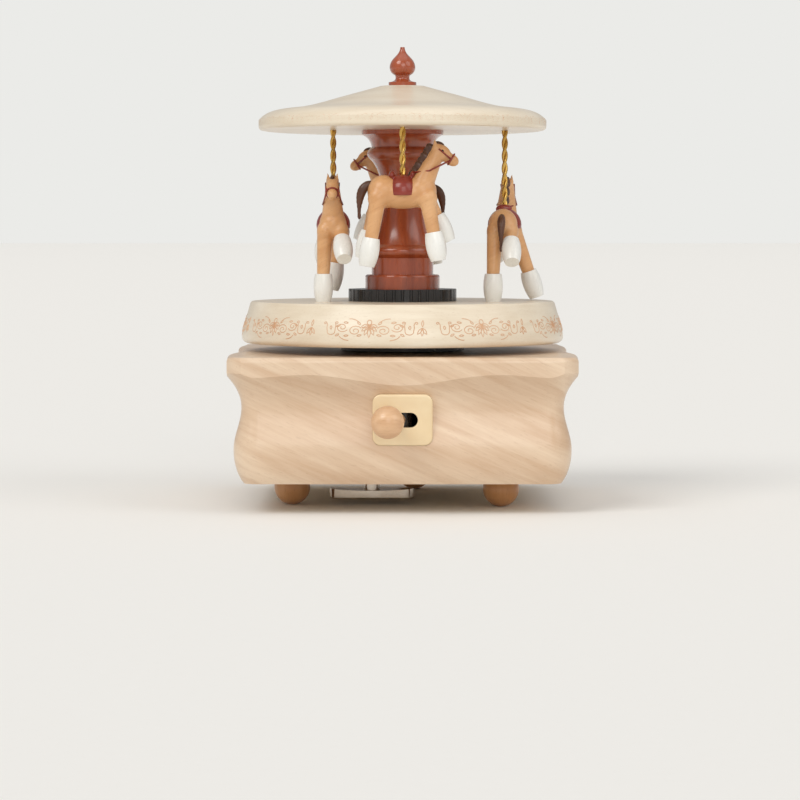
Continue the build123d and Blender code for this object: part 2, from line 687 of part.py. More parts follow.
def comb_bridge():
    top = CYL_Z - COMB_T / 2
    body = block(CYL_FROM, CYL_TO, COMB_BACK_Y - COMB_ROOT, COMB_BACK_Y, BED_TOP, top)
    for x in comb_screw_x():
        body -= rod(SCREW_R, top - COMB_SCREW_L, top + PAST, x, COMB_SCREW_Y)
    return body


def comb():
    low = CYL_Z - COMB_T / 2
    plate = block(CYL_FROM, CYL_TO, COMB_TIP_Y, COMB_BACK_Y, low, low + COMB_T)
    pitch = CYL_LONG / COMB_TEETH
    for i in range(1, COMB_TEETH):
        x = CYL_FROM + i * pitch
        plate -= block(x - COMB_GAP / 2, x + COMB_GAP / 2, COMB_TIP_Y - PAST,
                       COMB_TIP_Y + COMB_TOOTH, low - PAST, low + COMB_T + PAST)
    for x in comb_screw_x():
        plate -= rod(SCREW_R + SCREW_GAP, low - PAST, low + COMB_T + PAST, x, COMB_SCREW_Y)
    return plate


def comb_screws():
    head_z = CYL_Z + COMB_T / 2
    return group([screw(x, COMB_SCREW_Y, head_z, COMB_SCREW_L, -1) for x in comb_screw_x()])


def pinned_cylinder():
    drum = rod_x(CYL_R, CYL_FROM, CYL_TO, 0, 0)
    pitch = CYL_LONG / COMB_TEETH
    pin = rod(PIN_R, CYL_R - PIN_IN, CYL_R + PIN_OUT)
    for i in range(COMB_TEETH):
        x = CYL_FROM + (i + 0.5) * pitch
        for k in range(PINS_PER_NOTE):
            turn = PIN_TURN * i + 360 / PINS_PER_NOTE * k + PIN_SKIP * (i % PIN_GROUP)
            drum += Pos(x, 0, 0) * Rot(turn, 0, 0) * pin
    drum -= rod_x(CYL_ARBOR_R + SEAT, CYL_FROM - PAST, CYL_TO + PAST, 0, 0)
    return Pos(0, CYL_Y, CYL_Z) * drum


def crown_pinion():
    leaf = gear(LANTERN_TEETH, LANTERN_MODULE, LANTERN_W, -90)
    leaf -= rod(CYL_ARBOR_R + SEAT, -PAST, LANTERN_W + PAST)
    return along_x(leaf, KEY_X + CROWN_R - LANTERN_W / 2, CYL_Y, CYL_Z)


def facing(angle, teeth):
    """Turn of a driven wheel so that a gap faces back along the line of centres."""
    return angle + 180 + 180 / teeth


def arbor_wheel(teeth, x, width, y, z, turn):
    wheel = gear(teeth, FINE_MODULE, width, turn)
    wheel -= rod(CYL_ARBOR_R + SEAT, -PAST, width + PAST)
    return along_x(wheel, x, y, z)


def arbor_pinion(teeth, wheel_x, wheel_w, y, z, turn):
    """Pinion centred on the wheel that drives it, a little wider on both sides."""
    return arbor_wheel(teeth, wheel_x - LEAF_OVER, wheel_w + 2 * LEAF_OVER, y, z, turn)


def train_arbor(x0, y, z):
    return rod_x(CYL_ARBOR_R, x0, TRAIN_END, y, z)


def fly_drum():
    start, end = FINGER_X - DRUM_T / 2, FINGER_X + DRUM_T / 2
    drum = rod_x(DRUM_R, start, end, FLY_Y, FLY_Z)
    return drum - rod_x(CYL_ARBOR_R + SEAT, start - PAST, end + PAST, FLY_Y, FLY_Z)


def fly_blades():
    start = FRAME_LEFT + FRAME_T + BLADE_GAP
    end = IDLER_WHEEL_X - BLADE_GAP
    blades = block(start, end, -BLADE_R, BLADE_R, -BLADE_T / 2, BLADE_T / 2)
    blades += rod_x(CYL_ARBOR_R + BLADE_CORE, start, end, 0, 0)
    blades -= rod_x(CYL_ARBOR_R + SEAT, start - PAST, end + PAST, 0, 0)
    return Pos(0, FLY_Y, FLY_Z) * blades


# ---------------------------------------------------------------- turntable
def spindle():
    return rod(SPINDLE_R, BED_TOP + SPINDLE_END, CANOPY_TOP)


def spindle_pinion():
    toward = math.degrees(math.atan2(KEY_Y, KEY_X)) + 180 / PINION_TEETH
    width = WHEEL_T + 2 * PINION_OVER
    leaf = gear(PINION_TEETH, COARSE_MODULE, width, toward)
    leaf -= rod(SPINDLE_R + SEAT, -PAST, width + PAST)
    return Pos(0, 0, BARREL_BASE - PINION_OVER) * leaf


def spindle_step():
    """Foot bearing on the bedplate that the spindle turns in."""
    cup = rod(SPINDLE_R + STEP_WALL, BED_TOP, BARREL_BASE - PINION_OVER - AIR)
    return cup - rod(SPINDLE_R + RUN, BED_TOP, BARREL_BASE)


def spindle_bush():
    bush = rod(BUSH_R, CAVITY_TOP, BASE_TOP)
    bush += rod(BUSH_R + BUSH_COLLAR, CAVITY_TOP - BUSH_COLLAR_T, CAVITY_TOP)
    return bush - rod(SPINDLE_R + RUN, CAVITY_TOP - BUSH_COLLAR_T - PAST, BASE_TOP + PAST)


def thrust_washer():
    hole = rod(SPINDLE_R + RUN, BASE_TOP - PAST, FLANGE_Z + PAST)
    return rod(WASHER_R, BASE_TOP, FLANGE_Z) - hole


def spindle_hole(low, high):
    return rod(SPINDLE_R + SEAT, low - PAST, high + PAST)


def drive_flange():
    return rod(FLANGE_R, FLANGE_Z, DISC_Z) - spindle_hole(FLANGE_Z, DISC_Z)


def turntable_disc():
    """Disc with a rounded lower edge and a side that tapers in a slow curve."""
    taper = DISC_R - DISC_TOP_R
    shoulder = DISC_Z + DISC_LIP * 1.5
    lip = [(DISC_R - DISC_LIP, DISC_Z), (DISC_R - DISC_LIP * 0.35, DISC_Z + DISC_LIP * 0.45),
           (DISC_R, shoulder)]
    side = [(DISC_R, shoulder), (DISC_R - 0.13 * taper, DISC_Z + 0.36 * DISC_T),
            (DISC_R - 0.42 * taper, DISC_Z + 0.56 * DISC_T),
            (DISC_R - 0.7 * taper, DISC_Z + 0.74 * DISC_T), (DISC_TOP_R, DISC_TOP - DISC_EDGE)]
    edge = [(DISC_TOP_R, DISC_TOP - DISC_EDGE), (DISC_TOP_R - DISC_EDGE, DISC_TOP)]
    return turned(lip, side, edge) - spindle_hole(DISC_Z, DISC_TOP)


def upper_plate():
    plate = rod(TOP_PLATE_R, DISC_TOP, RING_Z)
    reach = TOP_PLATE_R + FLUTE_OUT
    cutters = []
    for i in range(FLUTES):
        angle = 2 * math.pi * i / FLUTES
        cutters.append(rod(FLUTE_R, DISC_TOP - PAST, RING_Z + PAST, reach * math.cos(angle),
                           reach * math.sin(angle)))
    return plate - cutters - spindle_hole(DISC_TOP, RING_Z)


def column_foot():
    ring = turned([(RING_R, RING_Z), (RING_R, COLUMN_Z - RING_EDGE)],
                  [(RING_R, COLUMN_Z - RING_EDGE), (RING_R - 0.3 * RING_EDGE, COLUMN_Z - 0.3 * RING_EDGE),
                   (RING_R - RING_EDGE, COLUMN_Z)])
    return ring - spindle_hole(RING_Z, COLUMN_Z)


def column():
    """Turned column: foot, bead, waisted shaft, upper bead and capital."""
    low, high = COLUMN_Z, CANOPY_Z
    bead = COLUMN_R + TORUS
    foot = [(COLUMN_R, low), (COLUMN_R, low + BEAD_H)]
    torus = [(COLUMN_R, low + BEAD_H), (bead, low + 1.4 * BEAD_H), (COLUMN_R, low + 1.8 * BEAD_H)]
    shaft = [(COLUMN_R, low + 1.8 * BEAD_H), (WAIST_R + 0.6, low + 0.36 * COLUMN_H),
             (WAIST_R, low + 0.52 * COLUMN_H), (WAIST_R + 0.8, high - 0.3 * COLUMN_H),
             (COLUMN_R, high - 1.8 * BEAD_H)]
    upper = [(COLUMN_R, high - 1.8 * BEAD_H), (bead, high - 1.4 * BEAD_H),
             (COLUMN_R, high - BEAD_H)]
    cup = [(COLUMN_R, high - BEAD_H), (COLUMN_R + 0.3 * CAPITAL, high - 0.55 * BEAD_H),
           (COLUMN_R + CAPITAL, high - 0.25 * BEAD_H)]
    rim = [(COLUMN_R + CAPITAL, high - 0.25 * BEAD_H), (COLUMN_R + CAPITAL, high)]
    return turned(foot, torus, shaft, upper, cup, rim) - spindle_hole(low, high)


def canopy():
    """Roof with a rounded rim and a slow rise to its crown."""
    low = CANOPY_Z
    rim = low + CANOPY_RIM
    edge = [(CANOPY_R - CANOPY_EDGE, low), (CANOPY_R - 0.25 * CANOPY_EDGE, low + 0.3 * CANOPY_EDGE),
            (CANOPY_R, low + 1.2 * CANOPY_EDGE)]
    band = [(CANOPY_R, low + 1.2 * CANOPY_EDGE), (CANOPY_R, rim - CANOPY_EDGE)]
    roof = [(CANOPY_R, rim - CANOPY_EDGE), (CANOPY_R - CANOPY_EDGE, rim),
            (CANOPY_R * 0.74, rim + CANOPY_RISE * 0.28), (CANOPY_R * 0.46, rim + CANOPY_RISE * 0.6),
            (CANOPY_R * 0.26, rim + CANOPY_RISE * 0.86), (CANOPY_CROWN_R, CANOPY_TOP)]
    body = turned(edge, band, roof) - spindle_hole(low, CANOPY_TOP)
    for pony in PONIES:
        body -= rod(POLE_R + SEAT, low - PAST, low + POLE_IN, pony[1], pony[2])
    return body


def finial():
    """Turned knob: foot, neck and bud with a small tip."""
    low = CANOPY_TOP
    foot = [(FINIAL_R, low), (FINIAL_R, low + 0.1 * FINIAL_H)]
    neck = [(FINIAL_R, low + 0.1 * FINIAL_H), (0.5 * FINIAL_R, low + 0.21 * FINIAL_H),
            (0.55 * FINIAL_R, low + 0.28 * FINIAL_H)]
    bud = [(0.55 * FINIAL_R, low + 0.28 * FINIAL_H), (0.92 * FINIAL_R, low + 0.45 * FINIAL_H),
           (0.8 * FINIAL_R, low + 0.64 * FINIAL_H), (0.32 * FINIAL_R, low + 0.84 * FINIAL_H),
           (FINIAL_TIP_R, low + FINIAL_H)]
    return turned(foot, neck, bud)


# ---------------------------------------------------------------- ponies
def at_pony(pony, shape):
    name, x, y, heading, lift, legs = pony
    return Pos(x, y, DISC_TOP + lift) * Rot(0, 0, heading) * shape


def leg_line(leg):
    """Where a leg leaves the body and where its hoof stands."""
    forward, side, splay, up = leg
    hip = Vector(math.copysign(HIP_X, forward), side * HIP_SIDE, BODY_Z - HIP_DROP)
    return hip, Vector(forward, side * (HIP_SIDE + splay), up)


def upright_at(leg):
    """Placement with its origin under the hoof and its Z up the leg, and the leg's length."""
    hip, foot = leg_line(leg)
    way = hip - foot
    lean = math.degrees(math.acos(way.Z / way.length))
    turn = math.degrees(math.atan2(way.Y, way.X))
    if lean < UPRIGHT_LEAN and foot.Z == 0:
        return Pos(foot.X, foot.Y, 0), way.Z
    drop = HOOF_END_R * math.sin(math.radians(lean))
    return Pos(foot.X, foot.Y, foot.Z + drop) * Rot(0, 0, turn) * Rot(0, lean, 0), way.length


def hoof_solid():
    """Barrel-shaped hoof, widest just above its middle."""
    return turned([(HOOF_END_R, 0), (HOOF_R - 0.25, HOOF_H * 0.25), (HOOF_R, HOOF_H * 0.5),
                   (HOOF_R - 0.1, HOOF_H * 0.75), (HOOF_TOP_R, HOOF_H)])


def pony_hooves():
    solids = []
    for pony in PONIES:
        for leg in pony[5]:
            place, length = upright_at(leg)
            solids.append(at_pony(pony, place * hoof_solid()))
    return group(solids)


def pony_trunk():
    """Body, neck, head and ears of one pony, facing +X."""
    half = BODY_L / 2
    barrel = turned([(BODY_R * 0.55, -half), (BODY_R * 0.95, -half * 0.7), (BODY_R * 0.98, -half * 0.3),
                     (BODY_R * 0.94, half * 0.3), (BODY_R * 0.98, half * 0.65),
                     (BODY_R * 0.6, half)])
    trunk = Pos(0, 0, BODY_Z) * Rot(0, 90, 0) * barrel
    neck = Pos(0, 0, NECK_L / 2) * Cone(NECK_R, NECK_TOP_R, NECK_L)
    trunk += Pos(NECK_X, 0, BODY_Z + PAST) * Rot(0, NECK_LEAN, 0) * neck
    trunk += Pos(HEAD_X, 0, BODY_Z + HEAD_Z) * Rot(0, HEAD_LEAN, 0) * Cone(HEAD_R, NOSE_R, HEAD_L)
    for side in (-1, 1):
        trunk += Pos(EAR_X, side * EAR_SIDE, BODY_Z + EAR_Z) * Cone(EAR_R, EAR_TIP_R, EAR_H)
    return trunk


def pony_wood(pony):
    trunk = pony_trunk()
    for leg in pony[5]:
        place, length = upright_at(leg)
        wood = length - HOOF_H
        trunk += place * Pos(0, 0, HOOF_H + wood / 2) * Cone(LEG_R, LEG_R + LEG_TAPER, wood)
    trunk -= rod(POLE_R + SEAT, BODY_Z - POLE_SOCKET, BODY_Z + 2 * BODY_R)
    for shape in (saddle_solid(), mane_solid(), tail_solid()):
        trunk -= shape
    return at_pony(pony, trunk)


def saddle_solid():
    """Saddle cloth over the back, open below."""
    outer = BODY_R + SADDLE_T
    shell = Rot(0, 90, 0) * Cylinder(outer, SADDLE_L)
    shell -= Rot(0, 90, 0) * Cylinder(BODY_R + SEAT, SADDLE_L + 2 * PAST)
    shell &= Pos(0, 0, outer - BODY_R * 0.1) * Box(2 * SADDLE_L, 4 * outer, 2 * outer)
    return Pos(0, 0, BODY_Z) * shell - rod(POLE_R + SEAT, 0, BODY_Z + 2 * outer)


def mane_solid():
    return Pos(MANE_X, 0, BODY_Z + MANE_Z) * Rot(0, NECK_LEAN, 0) * Box(MANE_DEEP, MANE_T, MANE_L)


def tail_solid():
    x = -BODY_L / 2 - TAIL_OUT
    return Pos(x, 0, BODY_Z + PAST) * Rot(0, TAIL_LEAN, 0) * Cone(TAIL_R, TAIL_END_R, TAIL_L)


def for_each_pony(shape):
    return group([at_pony(pony, shape) for pony in PONIES])


def canopy_poles():
    solids = []
    for name, x, y, heading, lift, legs in PONIES:
        low = DISC_TOP + lift + BODY_Z - POLE_SOCKET
        solids.append(rod(POLE_R, low, CANOPY_Z + POLE_IN, x, y))
    return group(solids)


# ---------------------------------------------------------------- write the pieces
def save_base():
    save(base_housing(), "base_housing")
    save(bottom_cover(), "bottom_cover")
    save(cover_screws(), "cover_screws")
    for name, (x, y) in zip(("left", "right", "rear"), foot_spots()):
        save(ball_foot(x, y), f"ball_foot_{name}")
    save(switch_plate(), "switch_plate")
    save(lever_pin(), "lever_pin")
    save(lever_hub(), "lever_hub")
    save(lever_stem(), "lever_stem")
    save(lever_knob(), "lever_knob")


def save_winding():
    save(winding_key(), "winding_key")
    save(winding_arbor(), "winding_arbor")
    save(arbor_core(), "arbor_core")
    save(one_way_clutch(), "one_way_clutch")
    save(barrel_drum(), "barrel_drum")
    save(barrel_cap(), "barrel_cap")
    save(mainspring(), "mainspring")


def save_movement():
    save(bedplate(), "bedplate")
    save(bedplate_screws(), "bedplate_screws")
    save(frame_plate(FRAME_LEFT), "frame_plate_left")
    save(frame_plate(FRAME_RIGHT), "frame_plate_right")
    save(comb_bridge(), "comb_bridge")
    save(comb(), "comb")
    save(comb_screws(), "comb_screws")
    save(pinned_cylinder(), "pinned_cylinder")
    save(train_arbor(KEY_X + CROWN_R - LANTERN_W, CYL_Y, CYL_Z), "cylinder_arbor")
    save(crown_pinion(), "crown_pinion")
    save(arbor_wheel(CYL_WHEEL_TEETH, CYL_WHEEL_X, WHEEL_W, CYL_Y, CYL_Z, IDLER_ANGLE),
         "cylinder_wheel")
    save(train_arbor(FRAME_LEFT, IDLER_Y, IDLER_Z), "idler_arbor")
    save(arbor_pinion(IDLER_LEAVES, CYL_WHEEL_X, WHEEL_W, IDLER_Y, IDLER_Z,
                      facing(IDLER_ANGLE, IDLER_LEAVES)), "idler_pinion")
    save(arbor_wheel(IDLER_TEETH, IDLER_WHEEL_X, IDLER_W, IDLER_Y, IDLER_Z, FLY_ANGLE),
         "idler_wheel")
    save(train_arbor(FINGER_X - DRUM_T, FLY_Y, FLY_Z), "fly_arbor")
    save(arbor_pinion(FLY_LEAVES, IDLER_WHEEL_X, IDLER_W, FLY_Y, FLY_Z,
                      facing(FLY_ANGLE, FLY_LEAVES)), "fly_pinion")
    save(fly_drum(), "fly_brake_drum")
    save(fly_blades(), "fly_blades")


def save_turntable():
    save(spindle(), "spindle")
    save(spindle_pinion(), "spindle_pinion")
    save(spindle_step(), "spindle_step")
    save(spindle_bush(), "spindle_bush")
    save(thrust_washer(), "thrust_washer")
    save(drive_flange(), "drive_flange")
    save(turntable_disc(), "turntable_disc")
    save(upper_plate(), "upper_plate")
    save(column_foot(), "column_foot")
    save(column(), "column")
    save(canopy(), "canopy")
    save(finial(), "finial")
    save(canopy_poles(), "canopy_poles")


def save_ponies():
    save(pony_hooves(), "pony_hooves")
    for pony in PONIES:
        save(pony_wood(pony), f"pony_{pony[0]}")
    save(for_each_pony(saddle_solid()), "pony_saddles")
    save(for_each_pony(mane_solid()), "pony_manes")
    save(for_each_pony(tail_solid()), "pony_tails")


def main():
    os.makedirs("parts", exist_ok=True)
    save_base()
    save_winding()
    save_movement()
    save_turntable()
    save_ponies()


main()
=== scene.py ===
"""Dresses the wind-up carousel music box: woods, paints, metals, burnt borders and carved ponies."""

import json
import logging
import math
from dataclasses import dataclass, field
from enum import Enum
from typing import Any, Iterable, Sequence

import bpy
from mathutils import Matrix, Vector

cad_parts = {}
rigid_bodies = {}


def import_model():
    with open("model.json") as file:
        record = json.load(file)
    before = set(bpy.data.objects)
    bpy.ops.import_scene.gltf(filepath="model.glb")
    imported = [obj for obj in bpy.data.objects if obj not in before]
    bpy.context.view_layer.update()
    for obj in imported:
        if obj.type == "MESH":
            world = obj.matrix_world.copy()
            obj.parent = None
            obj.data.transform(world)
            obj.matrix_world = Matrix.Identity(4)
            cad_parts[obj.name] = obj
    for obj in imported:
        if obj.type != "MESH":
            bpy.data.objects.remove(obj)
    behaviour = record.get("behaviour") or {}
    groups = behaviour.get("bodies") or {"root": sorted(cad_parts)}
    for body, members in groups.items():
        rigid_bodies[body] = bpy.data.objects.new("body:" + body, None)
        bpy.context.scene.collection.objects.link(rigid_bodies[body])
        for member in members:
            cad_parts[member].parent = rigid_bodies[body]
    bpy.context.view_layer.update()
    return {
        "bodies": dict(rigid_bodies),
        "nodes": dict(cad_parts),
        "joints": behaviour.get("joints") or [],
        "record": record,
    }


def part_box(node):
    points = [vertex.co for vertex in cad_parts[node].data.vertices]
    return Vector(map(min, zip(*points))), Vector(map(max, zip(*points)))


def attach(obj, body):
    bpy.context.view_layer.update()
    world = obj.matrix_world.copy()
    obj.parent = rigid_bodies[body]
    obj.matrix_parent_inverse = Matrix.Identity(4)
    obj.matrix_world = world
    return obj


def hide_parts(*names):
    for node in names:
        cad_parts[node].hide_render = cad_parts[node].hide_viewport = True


MM = 0.001
LOG = logging.getLogger("music_box")


class Body(Enum):
    """The moving groups that pieces ride on."""

    DECK = "turntable"


# ------------------------------------------------------------------ shader maths
class Term:
    """A shader value that can be used in Python arithmetic."""

    def __init__(self, bench: "Bench", socket: Any) -> None:
        """Keep where the value comes from.

        Args:
            bench: what makes the nodes.
            socket: what carries the value.
        """
        self.bench = bench
        self.socket = socket

    def _with(self, operation: str, other: Any, swapped: bool = False) -> "Term":
        """Join this value and another through one Math node.

        Args:
            operation: the Math node's operation.
            other: a Term or a number.
            swapped: True where the other value comes first.

        Returns:
            The result as a Term.
        """
        pair = (other, self) if swapped else (self, other)
        return self.bench.maths(operation, *pair)

    def __add__(self, other: Any) -> "Term":
        """self + other.

        Args:
            other: a Term or a number.

        Returns:
            The result.
        """
        return self._with("ADD", other)

    __radd__ = __add__

    def __sub__(self, other: Any) -> "Term":
        """self - other.

        Args:
            other: a Term or a number.

        Returns:
            The result.
        """
        return self._with("SUBTRACT", other)

    def __rsub__(self, other: Any) -> "Term":
        """other - self.

        Args:
            other: a Term or a number.

        Returns:
            The result.
        """
        return self._with("SUBTRACT", other, swapped=True)

    def __mul__(self, other: Any) -> "Term":
        """self * other.

        Args:
            other: a Term or a number.

        Returns:
            The result.
        """
        return self._with("MULTIPLY", other)

    __rmul__ = __mul__

    def __pow__(self, other: Any) -> "Term":
        """self ** other.

        Args:
            other: a Term or a number.

        Returns:
            The result.
        """
        return self._with("POWER", other)

    def above(self, level: float, soft: float) -> "Term":
        """A mask that rises from 0 to 1 as this value passes a level.

        Args:
            level: where the mask is one half.
            soft: half the width of the rise.

        Returns:
            The mask.
        """
        node = self.bench.node("ShaderNodeMapRange", {"interpolation_type": "SMOOTHSTEP"},
                               {"Value": self, "From Min": level - soft, "From Max": level + soft})
        return Term(self.bench, node.outputs["Result"])


class Bench:
    """One material's node tree, with short ways to add to it."""

    def __init__(self, name: str) -> None:
        """Start a material with one surface shader.

        Args:
            name: the material's name.
        """
        self.material = bpy.data.materials.new(name)
        self.material.use_nodes = True
        self.tree = self.material.node_tree
        self.shader = self.tree.nodes["Principled BSDF"]

    def node(self, kind: str, settings: dict[str, Any], inputs: dict[Any, Any]) -> Any:
        """Add one node.

        Args:
            kind: the node's type.
            settings: its properties, set before the inputs.
            inputs: values, Terms or sockets for its inputs, by name or number.

        Returns:
            The node.
        """
        made = self.tree.nodes.new(kind)
        for key, value in settings.items():
            if key == "stops":
                self._stops(made.color_ramp, value)
            else:
                setattr(made, key, value)
        for key, value in inputs.items():
            self.feed(made.inputs[key], value)
        return made

    def _stops(self, ramp: Any, stops: Sequence[tuple[float, Sequence[float]]]) -> None:
        """Set a colour ramp's stops.

        Args:
            ramp: the node's colour ramp.
            stops: positions and colours, from low to high.
        """
        while len(ramp.elements) < len(stops):
            ramp.elements.new(0.5)
        for element, (place, colour) in zip(ramp.elements, stops):
            element.position = place
            element.color = (*colour, 1.0)

    def feed(self, socket: Any, value: Any) -> None:
        """Link or set one input.

        Args:
            socket: the input.
            value: a Term, a socket or a fixed value.
        """
        if isinstance(value, Term):
            value = value.socket
        if isinstance(value, bpy.types.NodeSocket):
            self.tree.links.new(value, socket)
        else:
            socket.default_value = value

    def maths(self, operation: str, first: Any, second: Any) -> Term:
        """Add a Math node.

        Args:
            operation: the node's operation.
            first: a Term or a number.
            second: a Term or a number.

        Returns:
            The node's value.
        """
        made = self.node("ShaderNodeMath", {"operation": operation}, {0: first, 1: second})
        return Term(self, made.outputs[0])

    def place(self, turn: Sequence[float], stretch: Sequence[float],
              shift: Sequence[float] = (0.0, 0.0, 0.0)) -> Any:
        """Object coordinates, turned in degrees, then stretched.

        Args:
            turn: rotation about X, Y and Z in degrees.
            stretch: pattern cycles per metre along each turned axis.
            shift: offset in pattern units.

        Returns:
            The vector socket.
        """
        source = self.node("ShaderNodeTexCoord", {}, {}).outputs["Object"]
        turned = self.node("ShaderNodeMapping", {"vector_type": "POINT"},
                           {"Vector": source, "Rotation": [math.radians(a) for a in turn]})
        scaled = self.node("ShaderNodeMapping", {"vector_type": "POINT"},
                           {"Vector": turned.outputs[0], "Scale": stretch, "Location": shift})
        return scaled.outputs[0]

    def noise(self, vector: Any, detail: float = 4.0, rough: float = 0.55,
              twist: float = 0.0) -> Term:
        """Noise over a scaled vector.

        Args:
            vector: the pattern's coordinates.
            detail: octaves.
            rough: weight of the finer octaves.
            twist: distortion.

        Returns:
            The value, from 0 to 1.
        """
        made = self.node("ShaderNodeTexNoise", {},
                         {"Vector": vector, "Scale": 1.0, "Detail": detail, "Roughness": rough,
                          "Distortion": twist})
        return Term(self, made.outputs["Fac"])

    def blend(self, factor: Any, first: Any, second: Any, way: str = "MIX") -> Any:
        """Mix two colours.

        Args:
            factor: share of the second colour.
            first: a colour or socket.
            second: a colour or socket.
            way: the blend type.

        Returns:
            The colour socket.
        """
        made = self.node("ShaderNodeMix", {"data_type": "RGBA", "blend_type": way},
                         {0: factor, 6: self._rgba(first), 7: self._rgba(second)})
        return made.outputs[2]

    def _rgba(self, colour: Any) -> Any:
        """Give a bare colour its alpha; leave sockets alone.

        Args:
            colour: three numbers, or a socket.

        Returns:
            Four numbers, or the same socket.
        """
        return (*colour, 1.0) if isinstance(colour, tuple) else colour

    def surface(self, colour: Any, rough: Any, height: Any = None, depth: float = 0.0,
                **constants: float) -> bpy.types.Material:
        """Finish the surface shader.

        Args:
            colour: base colour.
            rough: roughness.
            height: bump height, or None.
            depth: bump distance in metres.
            constants: other sockets' fixed values, spaces written as underscores.

        Returns:
            The material.
        """
        self.feed(self.shader.inputs["Base Color"], self._rgba(colour))
        self.feed(self.shader.inputs["Roughness"], rough)
        for name, value in constants.items():
            self.shader.inputs[name.replace("_", " ")].default_value = value
        if height is not None:
            bump = self.node("ShaderNodeBump", {}, {"Strength": 1.0, "Distance": depth,
                                                    "Height": height})
            self.feed(self.shader.inputs["Normal"], bump.outputs[0])
        return self.material


def rgb(red: int, green: int, blue: int) -> tuple[float, float, float]:
    """A colour given on the 0 to 255 screen scale, as linear light.

    Args:
        red: red on the screen.
        green: green on the screen.
        blue: blue on the screen.

    Returns:
        The three linear values.
    """
    def linear(part: int) -> float:
        """Undo the screen curve for one channel.

        Args:
            part: the channel on the screen.

        Returns:
            The linear value.
        """
        share = part / 255
        return share / 12.92 if share <= 0.04045 else ((share + 0.055) / 1.055) ** 2.4
    return linear(red), linear(green), linear(blue)


# ------------------------------------------------------------------ finishes
@dataclass(frozen=True)
class Wood:
    """Lacquered wood with bands, streaks and pores along one direction."""

    name: str
    pale: tuple[float, float, float]
    dark: tuple[float, float, float]
    pore: tuple[float, float, float]
    turn: tuple[float, float, float] = (0.0, 0.0, 0.0)
    band: float = 60.0
    streak: float = 420.0
    contrast: float = 1.0
    rough: float = 0.38
    coat: float = 0.25
    shift: tuple[float, float, float] = (0.0, 0.0, 0.0)

    def make(self) -> bpy.types.Material:
        """Build the material.

        Returns:
            The finished material.
        """
        bench = Bench(self.name)
        broad = bench.noise(bench.place(self.turn, (self.band * 0.16, self.band * 0.4, self.band),
                                        self.shift), 3.0, 0.5, 0.9)
        fine = bench.noise(bench.place(self.turn, (self.streak * 0.05, self.streak * 0.2, self.streak),
                                       self.shift), 5.0, 0.6, 0.3)
        fleck = bench.noise(bench.place(self.turn, (260.0, 2600.0, 2600.0), self.shift), 2.0, 0.5)
        cloud = bench.noise(bench.place(self.turn, (9.0, 12.0, 22.0), self.shift), 2.0, 0.5)
        pattern = broad * 0.5 + fine * 0.3 + cloud * 0.2
        share = pattern.above(0.5, 0.22 / self.contrast)
        colour = bench.blend(share, self.dark, self.pale)
        pores = fleck.above(0.66, 0.07) * 0.22
        colour = bench.blend(pores, colour, self.pore)
        rough = fine * 0.12 + (self.rough - 0.06)
        height = fine * 0.6 + fleck * 0.4
        return bench.surface(colour, rough, height, 0.00003, Coat_Weight=self.coat,
                             Coat_Roughness=0.22, IOR=1.45)


@dataclass(frozen=True)
class Paint:
    """Brushed enamel over wood, or moulded plastic."""

    name: str
    colour: tuple[float, float, float]
    shade: tuple[float, float, float]
    rough: float = 0.3
    coat: float = 0.3
    grain: float = 260.0
    relief: float = 0.00003

    def make(self) -> bpy.types.Material:
        """Build the material.

        Returns:
            The finished material.
        """
        bench = Bench(self.name)
        cloud = bench.noise(bench.place((0, 0, 0), (70.0, 70.0, 70.0)), 3.0)
        skin = bench.noise(bench.place((0, 0, 0), (self.grain, self.grain, self.grain * 0.4)), 3.0)
        colour = bench.blend(cloud.above(0.52, 0.2), self.shade, self.colour)
        return bench.surface(colour, skin * 0.14 + (self.rough - 0.07), skin, self.relief,
                             Coat_Weight=self.coat, Coat_Roughness=0.12)


@dataclass(frozen=True)
class Metal:
    """Turned, plated or plain metal."""

    name: str
    colour: tuple[float, float, float]
    tarnish: tuple[float, float, float]
    rough: float = 0.22

    def make(self) -> bpy.types.Material:
        """Build the material.

        Returns:
            The finished material.
        """
        bench = Bench(self.name)
        cloud = bench.noise(bench.place((0, 0, 0), (110.0, 110.0, 110.0)), 4.0)
        line = bench.noise(bench.place((0, 0, 0), (500.0, 500.0, 5200.0)), 2.0)
        colour = bench.blend(cloud.above(0.5, 0.25), self.tarnish, self.colour)
        return bench.surface(colour, line * 0.16 + (self.rough - 0.08), line, 0.00001,
                             Metallic=1.0)


MAPLE = Wood("maple_diagonal", rgb(234, 211, 184), rgb(208, 175, 143), rgb(172, 136, 104),
             turn=(0.0, -24.0, 0.0), band=105.0, streak=620.0, contrast=1.15, rough=0.34, coat=0.4)
DISC_MAPLE = Wood("maple_disc", rgb(238, 226, 205), rgb(225, 209, 184), rgb(190, 160, 126),
                  turn=(0.0, 0.0, 0.0), band=150.0, streak=760.0, contrast=1.1, rough=0.34, coat=0.4,
                  shift=(3.0, 1.0, 2.0))
PLY = Wood("sanded_ply", rgb(222, 196, 158), rgb(202, 170, 130), rgb(160, 124, 88),
           turn=(0.0, 0.0, 0.0), band=80.0, rough=0.55, coat=0.0)
BEECH = Wood("turned_beech", rgb(222, 170, 120), rgb(196, 138, 88), rgb(136, 86, 50),
             turn=(0.0, 90.0, 0.0), band=160.0, rough=0.34)
PEAR = Wood("turned_pear", rgb(232, 192, 152), rgb(206, 160, 118), rgb(160, 114, 78),
            turn=(0.0, 0.0, 0.0), band=210.0, streak=900.0, rough=0.3, coat=0.4)
MAHOGANY = Wood("stained_redwood", rgb(176, 84, 46), rgb(134, 56, 28), rgb(76, 30, 16),
                turn=(0.0, 90.0, 0.0), band=140.0, rough=0.2, coat=0.8)
